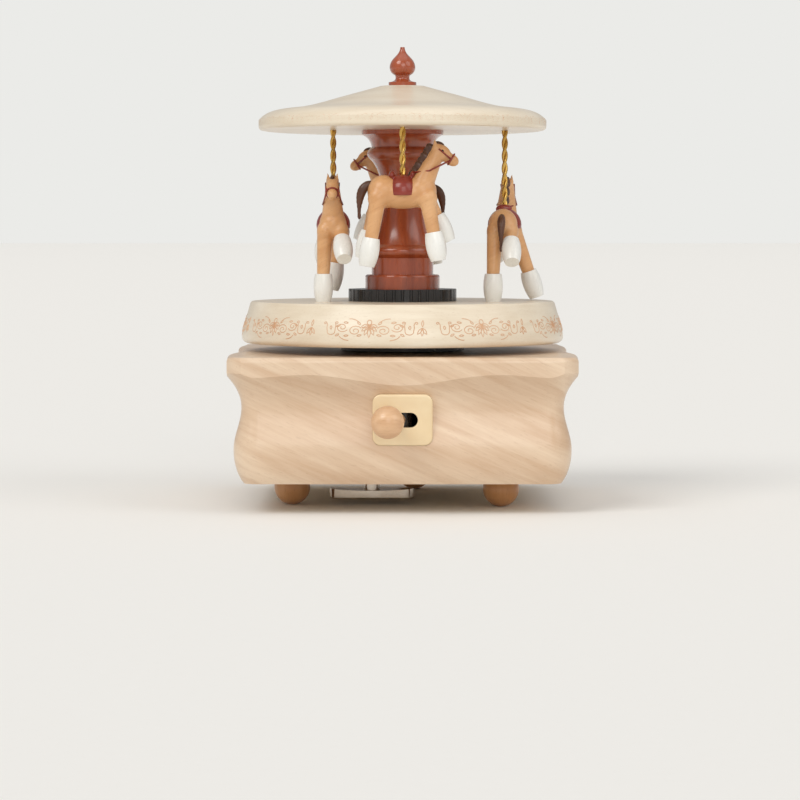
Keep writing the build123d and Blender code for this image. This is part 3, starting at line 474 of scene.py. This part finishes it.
PONY_WOOD = Wood("pony_wood", rgb(230, 182, 132), rgb(206, 150, 98), rgb(150, 98, 60),
                 turn=(0.0, 30.0, 0.0), band=140.0, rough=0.36)
IVORY = Paint("ivory_plate", rgb(241, 220, 180), rgb(233, 207, 164), rough=0.22, coat=0.6,
              grain=120.0, relief=0.00002)
WHITE = Paint("white_enamel", rgb(244, 244, 240), rgb(236, 235, 229), rough=0.28)
RED = Paint("saddle_enamel", rgb(150, 52, 36), rgb(128, 40, 28), rough=0.3)
BROWN = Paint("mane_enamel", rgb(96, 58, 36), rgb(72, 42, 26), rough=0.4, coat=0.1)
BLACK = Paint("black_enamel", rgb(32, 27, 26), rgb(22, 19, 18), rough=0.26, coat=0.2)
BURNT = Paint("burnt_line", rgb(222, 182, 148), rgb(208, 160, 122), rough=0.6, coat=0.0)
FELT = Paint("felt", rgb(70, 60, 50), rgb(54, 46, 38), rough=0.9, coat=0.0, grain=900.0)
NICKEL = Metal("nickel_plate", rgb(214, 206, 196), rgb(184, 170, 154), rough=0.2)
BRASS = Metal("turned_brass", rgb(222, 184, 104), rgb(190, 146, 70), rough=0.24)
STEEL = Metal("plain_steel", rgb(176, 176, 178), rgb(140, 140, 142), rough=0.32)
ZINC = Metal("cast_zinc", rgb(164, 164, 162), rgb(132, 132, 130), rough=0.5)


@dataclass
class PaintShop:
    """Makes each finish once and dresses CAD nodes by their record slot."""

    stock: dict[str, bpy.types.Material] = field(default_factory=dict)
    by_slot: dict[str, Any] = field(default_factory=lambda: {
        "maple": MAPLE, "pale_maple": DISC_MAPLE, "plywood": PLY, "beech": BEECH, "pear": PEAR,
        "mahogany": MAHOGANY, "pony_wood": PONY_WOOD, "ivory": IVORY, "white_paint": WHITE,
        "red_paint": RED, "brown_paint": BROWN, "black": BLACK, "felt": FELT, "nickel": NICKEL,
        "brass": BRASS, "steel": STEEL, "zinc": ZINC})

    def get(self, finish: Any) -> bpy.types.Material:
        """The material of a finish, made on first use.

        Args:
            finish: the finish.

        Returns:
            Its material.
        """
        if finish.name not in self.stock:
            self.stock[finish.name] = finish.make()
        return self.stock[finish.name]

    def dress(self, piece: bpy.types.Object, finish: Any) -> None:
        """Put one finish all over a piece.

        Args:
            piece: the piece.
            finish: what it gets.
        """
        piece.data.materials.clear()
        piece.data.materials.append(self.get(finish))

    def dress_nodes(self, frame: dict[str, Any]) -> None:
        """Give every CAD node the finish of its slot.

        Args:
            frame: what the frame loader returned.
        """
        slots = {row["node"]: row["material_slot"] for row in frame["record"]["subparts"]}
        for name, node in frame["nodes"].items():
            self.dress(node, self.by_slot[slots[name]])
            LOG.info("node %s dressed as %s", name, slots[name])


# ------------------------------------------------------------------ modelling helpers
def clear_selection() -> None:
    """Deselect everything, so that the next operator acts on its own piece."""
    if bpy.context.object is not None and bpy.context.object.mode != "OBJECT":
        bpy.ops.object.mode_set(mode="OBJECT")
    bpy.ops.object.select_all(action="DESELECT")


def only(piece: bpy.types.Object) -> bpy.types.Object:
    """Select one piece and make it active.

    Args:
        piece: the piece.

    Returns:
        The same piece.
    """
    clear_selection()
    piece.select_set(True)
    bpy.context.view_layer.objects.active = piece
    return piece


def joined(parts: Sequence[bpy.types.Object], name: str) -> bpy.types.Object:
    """Join parts into the first one.

    Args:
        parts: mesh objects.
        name: the joined piece's name.

    Returns:
        The piece.
    """
    clear_selection()
    for part in parts:
        part.select_set(True)
    bpy.context.view_layer.objects.active = parts[0]
    if len(parts) > 1:
        bpy.ops.object.join()
    piece = bpy.context.object
    piece.name = name
    return piece


def applied(piece: bpy.types.Object, kind: str, **settings: Any) -> None:
    """Add one modifier and apply it.

    Args:
        piece: the piece that it shapes.
        kind: the modifier's type.
        settings: the modifier's properties.
    """
    only(piece)
    modifier = piece.modifiers.new(kind.lower(), kind)
    for key, value in settings.items():
        setattr(modifier, key, value)
    bpy.ops.object.modifier_apply(modifier=modifier.name)


def settled(piece: bpy.types.Object, placing: Matrix = Matrix.Identity(4)) -> bpy.types.Object:
    """Bake a piece's place into its mesh, then a further placing.

    Args:
        piece: the piece.
        placing: where it goes after that.

    Returns:
        The same piece.
    """
    only(piece)
    bpy.ops.object.transform_apply(location=True, rotation=True, scale=True)
    piece.data.transform(placing)
    return piece


def ball(centre: Sequence[float], radii: Sequence[float], tilt: float = 0.0,
         fine: int = 24) -> bpy.types.Object:
    """An ellipsoid, tilted about Y.

    Args:
        centre: place in metres.
        radii: half sizes in metres.
        tilt: degrees about Y.
        fine: segments round it.

    Returns:
        The object, not yet applied.
    """
    clear_selection()
    bpy.ops.mesh.primitive_uv_sphere_add(segments=fine, ring_count=fine // 2, radius=1.0,
                                         location=centre, rotation=(0, math.radians(tilt), 0))
    made = bpy.context.object
    made.scale = radii
    bpy.ops.object.transform_apply(location=True, rotation=True, scale=True)
    return made


def limb(start: Vector, end: Vector, thick: float, thin: float) -> bpy.types.Object:
    """A tapered round bar between two points.

    Args:
        start: centre of the thick end.
        end: centre of the thin end.
        thick: radius there.
        thin: radius at the other end.

    Returns:
        The object with its place applied.
    """
    way = end - start
    clear_selection()
    bpy.ops.mesh.primitive_cone_add(vertices=24, radius1=thick, radius2=thin, depth=way.length,
                                    location=(start + end) / 2,
                                    rotation=way.to_track_quat("Z", "Y").to_euler())
    bpy.ops.object.transform_apply(location=True, rotation=True, scale=True)
    return bpy.context.object


def mount_piece(piece: bpy.types.Object, body: Body, slot: str, finish: Any, shop: PaintShop,
                *nodes: str) -> None:
    """Dress a finished piece, put it on its body and let it stand for CAD nodes.

    Args:
        piece: the finished mesh, its place in its vertices.
        body: what it moves with.
        slot: the record's material slot; not used.
        finish: its finish.
        shop: where finishes are made.
        nodes: CAD nodes that it replaces.
    """
    shop.dress(piece, finish)
    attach(piece, body.value)
    if nodes:
        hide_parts(*nodes)
    LOG.info("piece %s rides on %s, %d faces", piece.name, body.value, len(piece.data.polygons))


# ------------------------------------------------------------------ burnt border
@dataclass
class BurntBorder:
    """Scroll border burnt into a turned rim: flowers, mirrored vines and small drops.

    The line, its sinking and the height step of measured rings are in metres, the rest in
    millimetres or degrees. Half a repeat reaches from a flower to the middle of a drop.
    """

    shop: PaintShop
    first_turn: float = -101.5
    line: float = 0.00018
    sink: float = 0.00008
    ring_step: float = 0.00002
    reach: float = 19.9
    vine_flat: float = 0.7
    middle: float = 0.0
    axis: Vector = field(default_factory=Vector)
    rings: list[tuple[float, float]] = field(default_factory=list)

    def build(self, name: str, node: str, middle: float, size: float, repeats: int) -> None:
        """Lay the border on a turned piece.

        Args:
            name: the border's name.
            node: the CAD node that it lies on.
            middle: its height.
            size: scale of the motifs, 1 on the disc.
            repeats: how many motifs go round.
        """
        low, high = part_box(node)
        self.axis = ((low + high) / 2).to_2d()
        self.middle = middle
        curve = bpy.data.curves.new(name, "CURVE")
        curve.dimensions = "3D"
        curve.bevel_depth = self.line * size
        curve.bevel_resolution = 1
        for i in range(repeats):
            turn = math.radians(self.first_turn + 360 / repeats * i)
            for stroke in self.motif():
                self._stroke(curve, turn, stroke, size)
        piece = bpy.data.objects.new(name, curve)
        bpy.context.collection.objects.link(piece)
        only(piece)
        bpy.ops.object.convert(target="MESH")
        piece = bpy.context.object
        piece.name = name
        bpy.ops.object.shade_smooth()
        mount_piece(piece, Body.DECK, "pale_maple", BURNT, self.shop)

    def radius_at(self, height: float) -> float:
        """Radius of the turned side at a height, between its measured rings.

        Args:
            height: the height in metres.

        Returns:
            The radius in metres.
        """
        below = max((p for p in self.rings if p[1] <= height), key=lambda p: p[1])
        above = min((p for p in self.rings if p[1] >= height), key=lambda p: p[1])
        if above[1] - below[1] < 1e-7:
            return below[0]
        share = (height - below[1]) / (above[1] - below[1])
        return below[0] + share * (above[0] - below[0])

    def measure(self, node: bpy.types.Object) -> None:
        """Read the outermost radius of each ring of vertices of a turned node.

        Args:
            node: the CAD node's object.
        """
        low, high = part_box(node.name)
        centre = (low + high) / 2
        found: dict[int, float] = {}
        for vertex in node.data.vertices:
            key = round(vertex.co.z / self.ring_step)
            radius = math.hypot(vertex.co.x - centre.x, vertex.co.y - centre.y)
            found[key] = max(found.get(key, 0.0), radius)
        widest = max(found.values())
        self.rings = sorted((r, k * self.ring_step) for k, r in found.items() if r > widest * 0.9)

    def _stroke(self, curve: bpy.types.Curve, turn: float, stroke: Sequence[tuple[float, float]],
                size: float) -> None:
        """Wrap one flat line round the side.

        Args:
            curve: the border's curve.
            turn: angle of the motif's middle.
            stroke: points as (along, up) in millimetres.
            size: scale.
        """
        spline = curve.splines.new("POLY")
        spline.points.add(len(stroke) - 1)
        for point, (along, up) in zip(spline.points, stroke):
            height = self.middle + up * MM * size
            radius = self.radius_at(height) - self.sink
            angle = turn + along * MM * size / radius
            point.co = (self.axis.x + radius * math.cos(angle),
                        self.axis.y + radius * math.sin(angle), height, 1.0)

    def motif(self) -> Iterable[list[tuple[float, float]]]:
        """Draw one repeat.

        Returns:
            Its strokes, along and up in millimetres from its middle.
        """
        yield from self._palmette(0.0, 1.5)
        for way in (-1, 1):
            for stroke in self._vine():
                yield [(way * x, y * self.vine_flat) for x, y in stroke]
        yield from self._drop(self.reach, 0.4)

    def _petal(self, x: float, y: float, angle: float, long: float, wide: float) -> list:
        """A closed pointed petal.

        Args:
            x: its foot, along.
            y: its foot, up.
            angle: degrees it leans from upright.
            long: foot to tip.
            wide: half its width.

        Returns:
            Its points.
        """
        points = []
        for k in range(13):
            t = k / 6
            out = long * (t if t <= 1 else 2 - t)
            side = wide * math.sin(math.pi * (t if t <= 1 else 2 - t)) * (1 if t <= 1 else -1)
            a = math.radians(angle)
            points.append((x + out * math.sin(a) + side * math.cos(a),
                           y + out * math.cos(a) - side * math.sin(a)))
        return points

    def _palmette(self, x: float, y: float) -> Iterable[list]:
        """A fan of petals that opens downwards from a small cup.

        Args:
            x: the fan's foot, along.
            y: the fan's foot, up.

        Returns:
            Its strokes.
        """
        for angle in (-78, -52, -26, 0, 26, 52, 78):
            yield self._petal(x, y, 180 + angle, 4.7 - abs(angle) * 0.02, 0.62)
        yield self._spiral((x, y + 1.0), 0.85, 0.85, 0.0, 360.0)

    def _drop(self, x: float, y: float) -> Iterable[list]:
        """A small hanging bud of three petals under a pointed tip.

        Args:
            x: its middle, along.
            y: its middle, up.

        Returns:
            Its strokes.
        """
        for angle in (-38, 0, 38):
            yield self._petal(x, y, 180 + angle, 2.9, 0.5)
        yield self._petal(x, y + 0.5, 0, 2.4, 0.4)

    def _spiral(self, centre: tuple[float, float], first: float, last: float, start: float,
                sweep: float) -> list[tuple[float, float]]:
        """A curl from one radius to another.

        Args:
            centre: its middle.
            first: radius where it starts.
            last: radius where it ends.
            start: direction of the start from the middle, in degrees.
            sweep: degrees it turns through.

        Returns:
            Its points.
        """
        steps = max(8, int(abs(sweep) / 18))
        points = []
        for k in range(steps + 1):
            share = k / steps
            radius = first + (last - first) * share
            angle = math.radians(start + sweep * share)
            points.append((centre[0] + radius * math.cos(angle),
                           centre[1] + radius * math.sin(angle)))
        return points

    def _vine(self) -> Iterable[list]:
        """Scrolls to one side: a low curl, a high curl and an upright hook, with leaves.

        Returns:
            Their strokes.
        """
        yield self._spiral((5.4, -0.9), 2.7, 0.4, 150.0, -560.0)
        yield self._spiral((10.6, 0.9), 2.5, 0.4, -150.0, 560.0)
        yield self._spiral((7.9, 1.2), 4.6, 4.2, 152.0, -62.0)
        yield self._spiral((8.4, -1.4), 4.6, 4.0, -96.0, 60.0)
        hook = self._spiral((15.2, -1.4), 1.7, 1.5, 180.0, 190.0)
        yield [(13.5, 3.4), (13.2, 2.0), (13.4, 0.2), *hook, (16.9, 0.6), (16.7, 2.2), (17.1, 3.3)]
        yield self._spiral((17.6, 3.0), 0.7, 0.2, 150.0, -330.0)
        yield self._spiral((12.8, 3.2), 0.7, 0.2, 20.0, 330.0)
        for x, y, lean in ((3.4, 2.4, 40.0), (8.2, 3.2, 78.0), (8.0, -3.4, 96.0), (11.8, -2.6, 128.0),
                           (15.2, -0.2, 0.0), (13.0, 1.2, -60.0), (2.9, -3.0, 108.0)):
            yield self._petal(x, y, lean, 1.9, 0.42)


# ------------------------------------------------------------------ ponies
@dataclass
class Pony:
    """One carved pony: where it stands and how its legs run."""

    name: str
    spot: tuple[float, float]
    heading: float
    lift: float
    legs: Sequence[tuple[float, int, float, float]]


@dataclass
class PonyRing:
    """The four ponies that ride on the disc.

    Sizes are millimetres in a pony's own axes: forward X, left Y, up from its lowest hoof Z. A
    leg is its hoof's place forward, its side, how far it splays and how far it is raised.
    """

    shop: PaintShop
    body_z: float = 27.0
    body_r: float = 5.6
    body_l: float = 24.0
    hoof_h: float = 9.6
    hoof_end: float = 2.6
    hip_x: float = 8.6
    hip_side: float = 2.8
    hip_drop: float = 2.0
    upright: float = 12.0
    high_lift: float = 11.5
    high_out: float = 35.0
    skin: float = 0.35
    strand_out: float = 0.5
    strand_r: float = 0.66
    twist: float = 9.0
    thrown: tuple = ((20.0, 1, 1.5, 13.5), (-19.0, -1, 1.5, 12.5))
    high_legs: tuple = ((12.5, -1, 0.8, 3.0), (16.0, 1, 0.8, 9.0), (-12.5, -1, 0.8, 1.0),
                        (-14.0, 1, 0.8, 3.5))

    def team(self) -> list[Pony]:
        """List the ponies.

        Returns:
            The ponies, placed from the turntable axis.
        """
        fore, hind = self.thrown
        return [
            Pony("left", (-25.0, -3.0), -90.0, 0.0,
                 ((9.0, -1, 0.6, 0.0), fore, (-8.0, 1, -3.8, 3.4), hind)),
            Pony("right", (37.0, -1.0), 83.0, 0.0,
                 ((-10.5, 1, 0.4, 0.0), (11.0, -1, 8.2, 0.4), hind, fore)),
            Pony("front", (0.0, -self.high_out), 0.0, self.high_lift, self.high_legs),
            Pony("rear", (0.0, self.high_out), 180.0, self.high_lift, self.high_legs),
        ]

    def build(self) -> None:
        """Carve, paint and place all the ponies."""
        low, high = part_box("turntable_disc")
        axis = (low + high) / 2
        tack: dict[str, list[bpy.types.Object]] = {"saddle": [], "mane": [], "tail": [], "bridle": []}
        for pony in self.team():
            place = (Matrix.Translation((axis.x + pony.spot[0] * MM, axis.y + pony.spot[1] * MM,
                                         high.z + pony.lift * MM))
                     @ Matrix.Rotation(math.radians(pony.heading), 4, "Z"))
            self._carve(pony, place)
            self._eyes(pony, place)
            tack["saddle"].append(settled(self._saddle(), place))
            tack["mane"].append(settled(self._mane(), place))
            tack["tail"].append(settled(self._tail(), place))
            tack["bridle"].append(settled(self._bridle(), place))
        finishes = {"saddle": ("red_paint", RED, ["pony_saddles"]), "bridle": ("red_paint", RED, []),
                    "mane": ("brown_paint", BROWN, ["pony_manes"]),
                    "tail": ("brown_paint", BROWN, ["pony_tails"])}
        for kind, pieces in tack.items():
            slot, finish, nodes = finishes[kind]
            piece = joined(pieces, f"pony_{kind}_set")
            mount_piece(piece, Body.DECK, slot, finish, self.shop, *nodes)
        self._poles(axis, high.z)

    def _merged(self, parts: Sequence[bpy.types.Object], voxel: float) -> bpy.types.Object:
        """Join parts and melt them into one smooth skin.

        Args:
            parts: closed meshes that overlap.
            voxel: size of the skin's cells in millimetres.

        Returns:
            The piece.
        """
        piece = joined(parts, "merged")
        applied(piece, "REMESH", mode="VOXEL", voxel_size=voxel * MM, use_smooth_shade=True)
        applied(piece, "SMOOTH", factor=0.5, iterations=4)
        return piece

    def _saddle(self) -> bpy.types.Object:
        """Cloth over the back with a pommel and a cantle.

        Returns:
            The piece, in the pony's own axes.
        """
        z = self.body_z
        cloth = self._egg((0, 0, z + 0.4), (5.6, 6.2, 6.3))
        only(cloth)
        bpy.ops.object.mode_set(mode="EDIT")
        bpy.ops.mesh.select_all(action="SELECT")
        bpy.ops.mesh.bisect(plane_co=(0, 0, (z - 0.8) * MM), plane_no=(0, 0, 1), use_fill=True,
                            clear_inner=True)
        bpy.ops.object.mode_set(mode="OBJECT")
        rises = [self._egg((3.5, 0, z + 6.5), (1.0, 2.5, 1.5)),
                 self._egg((-3.7, 0, z + 6.3), (1.2, 3.0, 1.7))]
        return self._merged([cloth, *rises], self.skin)

    def _mane(self) -> bpy.types.Object:
        """Overlapping locks down the back of the neck, and a forelock.

        Returns:
            The piece, in the pony's own axes.
        """
        z = self.body_z
        locks = []
        for k in range(8):
            share = k / 7
            x = 6.6 + 5.6 * share - 0.9 * (4.1 - 1.7 * share)
            up = z + 2.8 + 11.8 * share + 0.43 * (4.1 - 1.7 * share)
            locks.append(self._egg((x, 0.35 * (-1) ** k, up), (1.5, 0.95, 2.3), -38.0 - 10 * share))
        locks.append(self._egg((12.9, 0, z + 17.2), (1.9, 0.9, 0.9), 20.0))
        return self._merged(locks, self.skin)

    def _tail(self) -> bpy.types.Object:
        """A tail that lifts from the rump, then falls and curls out at its end.

        Returns:
            The piece, in the pony's own axes.
        """
        z, back = self.body_z, self.body_l / 2
        strands = []
        for k in range(12):
            share = k / 11
            x = -back + 0.8 - 3.4 * math.sin(share * 2.2) - 1.2 * share ** 3
            up = z + 3.0 + 1.4 * math.sin(share * 3.0) - 11.0 * share ** 1.4
            thick = 0.75 + 1.0 * math.sin(math.pi * min(share + 0.12, 1.0))
            strands.append(self._egg((x, 0, up), (thick, thick * 0.85, 1.5)))
        return self._merged(strands, self.skin)

    def _bridle(self) -> bpy.types.Object:
        """Nose band, cheek straps and reins back to the saddle.

        Returns:
            The piece, in the pony's own axes.
        """
        z = self.body_z
        clear_selection()
        bpy.ops.mesh.primitive_torus_add(location=(17.0 * MM, 0, (z + 11.8) * MM),
                                         rotation=(0, math.radians(122), 0), major_segments=32,
                                         minor_segments=8, major_radius=2.15 * MM,
                                         minor_radius=0.32 * MM)
        parts = [bpy.context.object]
        for side in (-1, 1):
            parts.append(self._bar((16.8, side * 2.2, z + 11.9), (12.6, side * 2.4, z + 15.4), 0.3, 0.3))
            parts.append(self._bar((16.6, side * 2.2, z + 11.4), (9.4, side * 3.6, z + 7.8), 0.28, 0.28))
            parts.append(self._bar((9.4, side * 3.6, z + 7.8), (3.7, side * 1.5, z + 7.2), 0.28, 0.28))
        piece = joined(parts, "bridle")
        bpy.ops.object.shade_smooth()
        return piece

    def _poles(self, axis: Vector, deck_top: float) -> None:
        """Twisted brass poles from the ponies' backs to the canopy.

        Args:
            axis: a point on the turntable's axis.
            deck_top: height of the disc's top.
        """
        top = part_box("canopy_poles")[1].z
        curve = bpy.data.curves.new("twisted_poles", "CURVE")
        curve.dimensions = "3D"
        curve.bevel_depth = self.strand_r * MM
        curve.bevel_resolution = 2
        for pony in self.team():
            foot = deck_top + (pony.lift + self.body_z - 1.5) * MM
            tall = top - foot
            steps = int(tall / (0.6 * MM))
            for strand in (0.0, math.pi):
                spline = curve.splines.new("POLY")
                spline.points.add(steps)
                for k, point in enumerate(spline.points):
                    turn = strand + 2 * math.pi * (tall * k / steps) / (self.twist * MM)
                    point.co = (axis.x + (pony.spot[0] + self.strand_out * math.cos(turn)) * MM,
                                axis.y + (pony.spot[1] + self.strand_out * math.sin(turn)) * MM,
                                foot + tall * k / steps, 1.0)
        piece = bpy.data.objects.new("twisted_poles", curve)
        bpy.context.collection.objects.link(piece)
        only(piece)
        curve.use_fill_caps = True
        bpy.ops.object.convert(target="MESH")
        piece = bpy.context.object
        bpy.ops.object.shade_smooth()
        mount_piece(piece, Body.DECK, "brass", BRASS, self.shop, "canopy_poles")

    def _leg_ends(self, leg: tuple[float, int, float, float]) -> tuple[Vector, Vector]:
        """Where a leg begins and ends.

        Args:
            leg: the leg.

        Returns:
            Its hip and its foot.
        """
        forward, side, splay, up = leg
        hip = Vector((math.copysign(self.hip_x, forward), side * self.hip_side,
                      self.body_z - self.hip_drop))
        return hip, Vector((forward, side * (self.hip_side + splay), up))

    def _hoof_top(self, leg: tuple[float, int, float, float]) -> tuple[Vector, Vector]:
        """Where the wood leg meets its hoof.

        Args:
            leg: the leg.

        Returns:
            The hoof's top and the hip.
        """
        hip, foot = self._leg_ends(leg)
        way = hip - foot
        lean = math.acos(way.z / way.length)
        if math.degrees(lean) < self.upright and foot.z == 0:
            return foot + Vector((0, 0, self.hoof_h)), hip
        drop = self.hoof_end * math.sin(lean)
        return foot + Vector((0, 0, drop)) + way.normalized() * self.hoof_h, hip

    def _carve(self, pony: Pony, place: Matrix) -> None:
        """Body, neck, head, ears and legs as one smooth carving.

        Args:
            pony: the pony.
            place: its placing on the disc.
        """
        z, half = self.body_z, self.body_l / 2
        parts = [self._egg((0, 0, z), (half, self.body_r * 0.92, self.body_r * 0.98)),
                 self._egg((half * 0.55, 0, z + 0.6), (5.4, 5.0, 5.8)),
                 self._egg((-half * 0.55, 0, z + 0.5), (5.8, 5.3, 5.9)),
                 self._egg((half * 0.62 + 5.8, 0, z + 14.2), (4.0, 2.5, 2.9), 28.0),
                 self._egg((half * 0.62 + 9.6, 0, z + 11.6), (2.9, 1.9, 2.1), 28.0)]
        parts.append(self._bar((half * 0.5, 0, z + 1.5), (half * 0.62 + 4.6, 0, z + 14.0), 4.4, 2.5))
        for side in (-1, 1):
            parts.append(self._bar((half * 0.62 + 4.0, side * 1.4, z + 15.6),
                                   (half * 0.62 + 3.7, side * 1.8, z + 19.2), 1.0, 0.25))
        for leg in pony.legs:
            top, hip = self._hoof_top(leg)
            parts.append(self._bar(tuple(hip), tuple(top), 2.9, 2.35))
            parts.append(self._egg(tuple(hip), (3.6, 3.0, 4.2)))
        piece = joined(parts, f"carved_pony_{pony.name}")
        applied(piece, "REMESH", mode="VOXEL", voxel_size=0.45 * MM, use_smooth_shade=True)
        applied(piece, "SMOOTH", factor=0.5, iterations=6)
        settled(piece, place)
        mount_piece(piece, Body.DECK, "pony_wood", PONY_WOOD, self.shop, f"pony_{pony.name}")

    def _egg(self, centre: Sequence[float], radii: Sequence[float], tilt: float = 0.0) -> Any:
        """An ellipsoid.

        Args:
            centre: its middle.
            radii: its half sizes.
            tilt: degrees about Y.

        Returns:
            The object.
        """
        return ball([c * MM for c in centre], [r * MM for r in radii], tilt)

    def _bar(self, start: Sequence[float], end: Sequence[float], thick: float, thin: float) -> Any:
        """A tapered bar.

        Args:
            start: centre of the thick end.
            end: centre of the thin end.
            thick: radius at the start.
            thin: radius at the end.

        Returns:
            The object.
        """
        return limb(Vector(start) * MM, Vector(end) * MM, thick * MM, thin * MM)

    def _eyes(self, pony: Pony, place: Matrix) -> None:
        """Eyes, set as small black beads.

        Args:
            pony: the pony.
            place: its placing on the disc.
        """
        head = Vector((self.body_l / 2 * 0.62 + 6.4, 0, self.body_z + 14.6))
        beads = [self._egg((head.x, side * 2.25, head.z), (0.55, 0.35, 0.55)) for side in (-1, 1)]
        piece = settled(joined(beads, f"pony_eyes_{pony.name}"), place)
        only(piece)
        bpy.ops.object.shade_smooth()
        mount_piece(piece, Body.DECK, "black", BLACK, self.shop)


# ------------------------------------------------------------------ studio
@dataclass
class Studio:
    """Pale floor, plain soft light and the camera, in metres and degrees."""

    eye: tuple[float, float, float] = (-0.0009, -0.996, 0.097)
    pitch: float = 3.49
    lens: float = 123.3
    sensor: float = 36.0
    floor_half: float = 25.0
    floor_thick: float = 0.2
    backdrop: tuple[float, float, float] = rgb(235, 235, 232)
    sky: float = 0.42
    axis_y: float = 0.0

    def build(self) -> None:
        """Set the stage, the lights and the camera."""
        scene = bpy.context.scene
        scene.view_settings.view_transform = "Standard"
        low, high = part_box("turntable_disc")
        self.axis_y = (low.y + high.y) / 2
        self._camera(scene)
        self._floor()
        self._world(scene)
        self._sun("key_light", (-0.75, -0.75, 1.05), 32.0, 1.1, (1.0, 0.98, 0.95))
        self._sun("fill_light", (0.95, -0.55, 0.7), 40.0, 0.5, (1.0, 0.985, 0.965))
        self._sun("top_light", (0.0, 0.1, 1.3), 60.0, 0.4, (1.0, 1.0, 1.0))
        self._sun("front_light", (0.12, -1.0, 0.42), 34.0, 0.6, (1.0, 0.985, 0.96))

    def _camera(self, scene: bpy.types.Scene) -> None:
        """Stand the camera where the photograph was taken from.

        Args:
            scene: the scene.
        """
        data = bpy.data.cameras.new("camera")
        data.sensor_width = self.sensor
        data.lens = self.lens
        data.clip_start = 0.01
        camera = bpy.data.objects.new("camera", data)
        camera.location = (self.eye[0], self.eye[1] + self.axis_y, self.eye[2])
        camera.rotation_euler = (math.radians(90 - self.pitch), 0, 0)
        bpy.context.collection.objects.link(camera)
        scene.camera = camera

    def _floor(self) -> None:
        """A wide slab with rounded edges, its top at the height the feet stand on."""
        clear_selection()
        bpy.ops.mesh.primitive_plane_add(size=2 * self.floor_half, location=(0, 0, -self.floor_thick))
        floor = bpy.context.object
        floor.name = "backdrop"
        bpy.ops.object.transform_apply(location=True)
        bpy.ops.object.mode_set(mode="EDIT")
        bpy.ops.mesh.select_all(action="SELECT")
        bpy.ops.mesh.extrude_region_move(TRANSFORM_OT_translate={"value": (0, 0, self.floor_thick)})
        bpy.ops.mesh.select_all(action="SELECT")
        bpy.ops.mesh.normals_make_consistent(inside=False)
        bpy.ops.object.mode_set(mode="OBJECT")
        applied(floor, "BEVEL", width=self.floor_thick / 4, segments=6, limit_method="ANGLE")
        bpy.ops.object.shade_smooth_by_angle(angle=math.radians(40))
        floor.data.materials.append(self._floor_finish())

    def _floor_finish(self) -> bpy.types.Material:
        """Warm white paper.

        Returns:
            The material.
        """
        bench = Bench("studio_paper")
        grain = bench.noise(bench.place((0, 0, 0), (300.0, 300.0, 300.0)), 2.0)
        colour = bench.blend(grain * 0.3, rgb(243, 242, 239), rgb(238, 237, 233))
        return bench.surface(colour, 0.85, Specular_IOR_Level=0.0)

    def _world(self, scene: bpy.types.Scene) -> None:
        """Even pale light from all round, seen by the camera as the backdrop's own colour.

        Args:
            scene: the scene.
        """
        world = bpy.data.worlds.new("studio")
        scene.world = world
        world.use_nodes = True
        tree = world.node_tree
        light = tree.nodes["Background"]
        light.inputs["Color"].default_value = (1.0, 0.99, 0.975, 1.0)
        light.inputs["Strength"].default_value = self.sky
        seen = tree.nodes.new("ShaderNodeBackground")
        seen.inputs["Color"].default_value = (*self.backdrop, 1.0)
        rays = tree.nodes.new("ShaderNodeLightPath")
        mix = tree.nodes.new("ShaderNodeMixShader")
        tree.links.new(rays.outputs["Is Camera Ray"], mix.inputs[0])
        tree.links.new(light.outputs[0], mix.inputs[1])
        tree.links.new(seen.outputs[0], mix.inputs[2])
        tree.links.new(mix.outputs[0], tree.nodes["World Output"].inputs[0])

    def _sun(self, name: str, place: Sequence[float], spread: float, strength: float,
             colour: Sequence[float]) -> None:
        """A wide soft light from far away.

        Args:
            name: the lamp's name.
            place: the direction it comes from.
            spread: its apparent size in degrees.
            strength: watts per square metre.
            colour: its light.
        """
        data = bpy.data.lights.new(name, "SUN")
        data.angle = math.radians(spread)
        data.energy = strength
        data.color = colour
        lamp = bpy.data.objects.new(name, data)
        lamp.location = place
        lamp.rotation_euler = (-Vector(place)).to_track_quat("-Z", "Y").to_euler()
        bpy.context.collection.objects.link(lamp)


def main() -> None:
    """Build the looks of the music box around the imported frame."""
    logging.basicConfig(level=logging.INFO, format="%(name)s: %(message)s")
    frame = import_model()
    Studio().build()
    shop = PaintShop()
    shop.dress_nodes(frame)
    border = BurntBorder(shop)
    for name, node, up, size, repeats in (("disc_border", "turntable_disc", 6.5, 0.92, 9),
                                          ("canopy_border", "canopy", 2.6, 0.4, 20)):
        border.measure(frame["nodes"][node])
        border.build(name, node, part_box(node)[0].z + up * MM, size, repeats)
    PonyRing(shop).build()


if __name__ == "__main__":
    main()
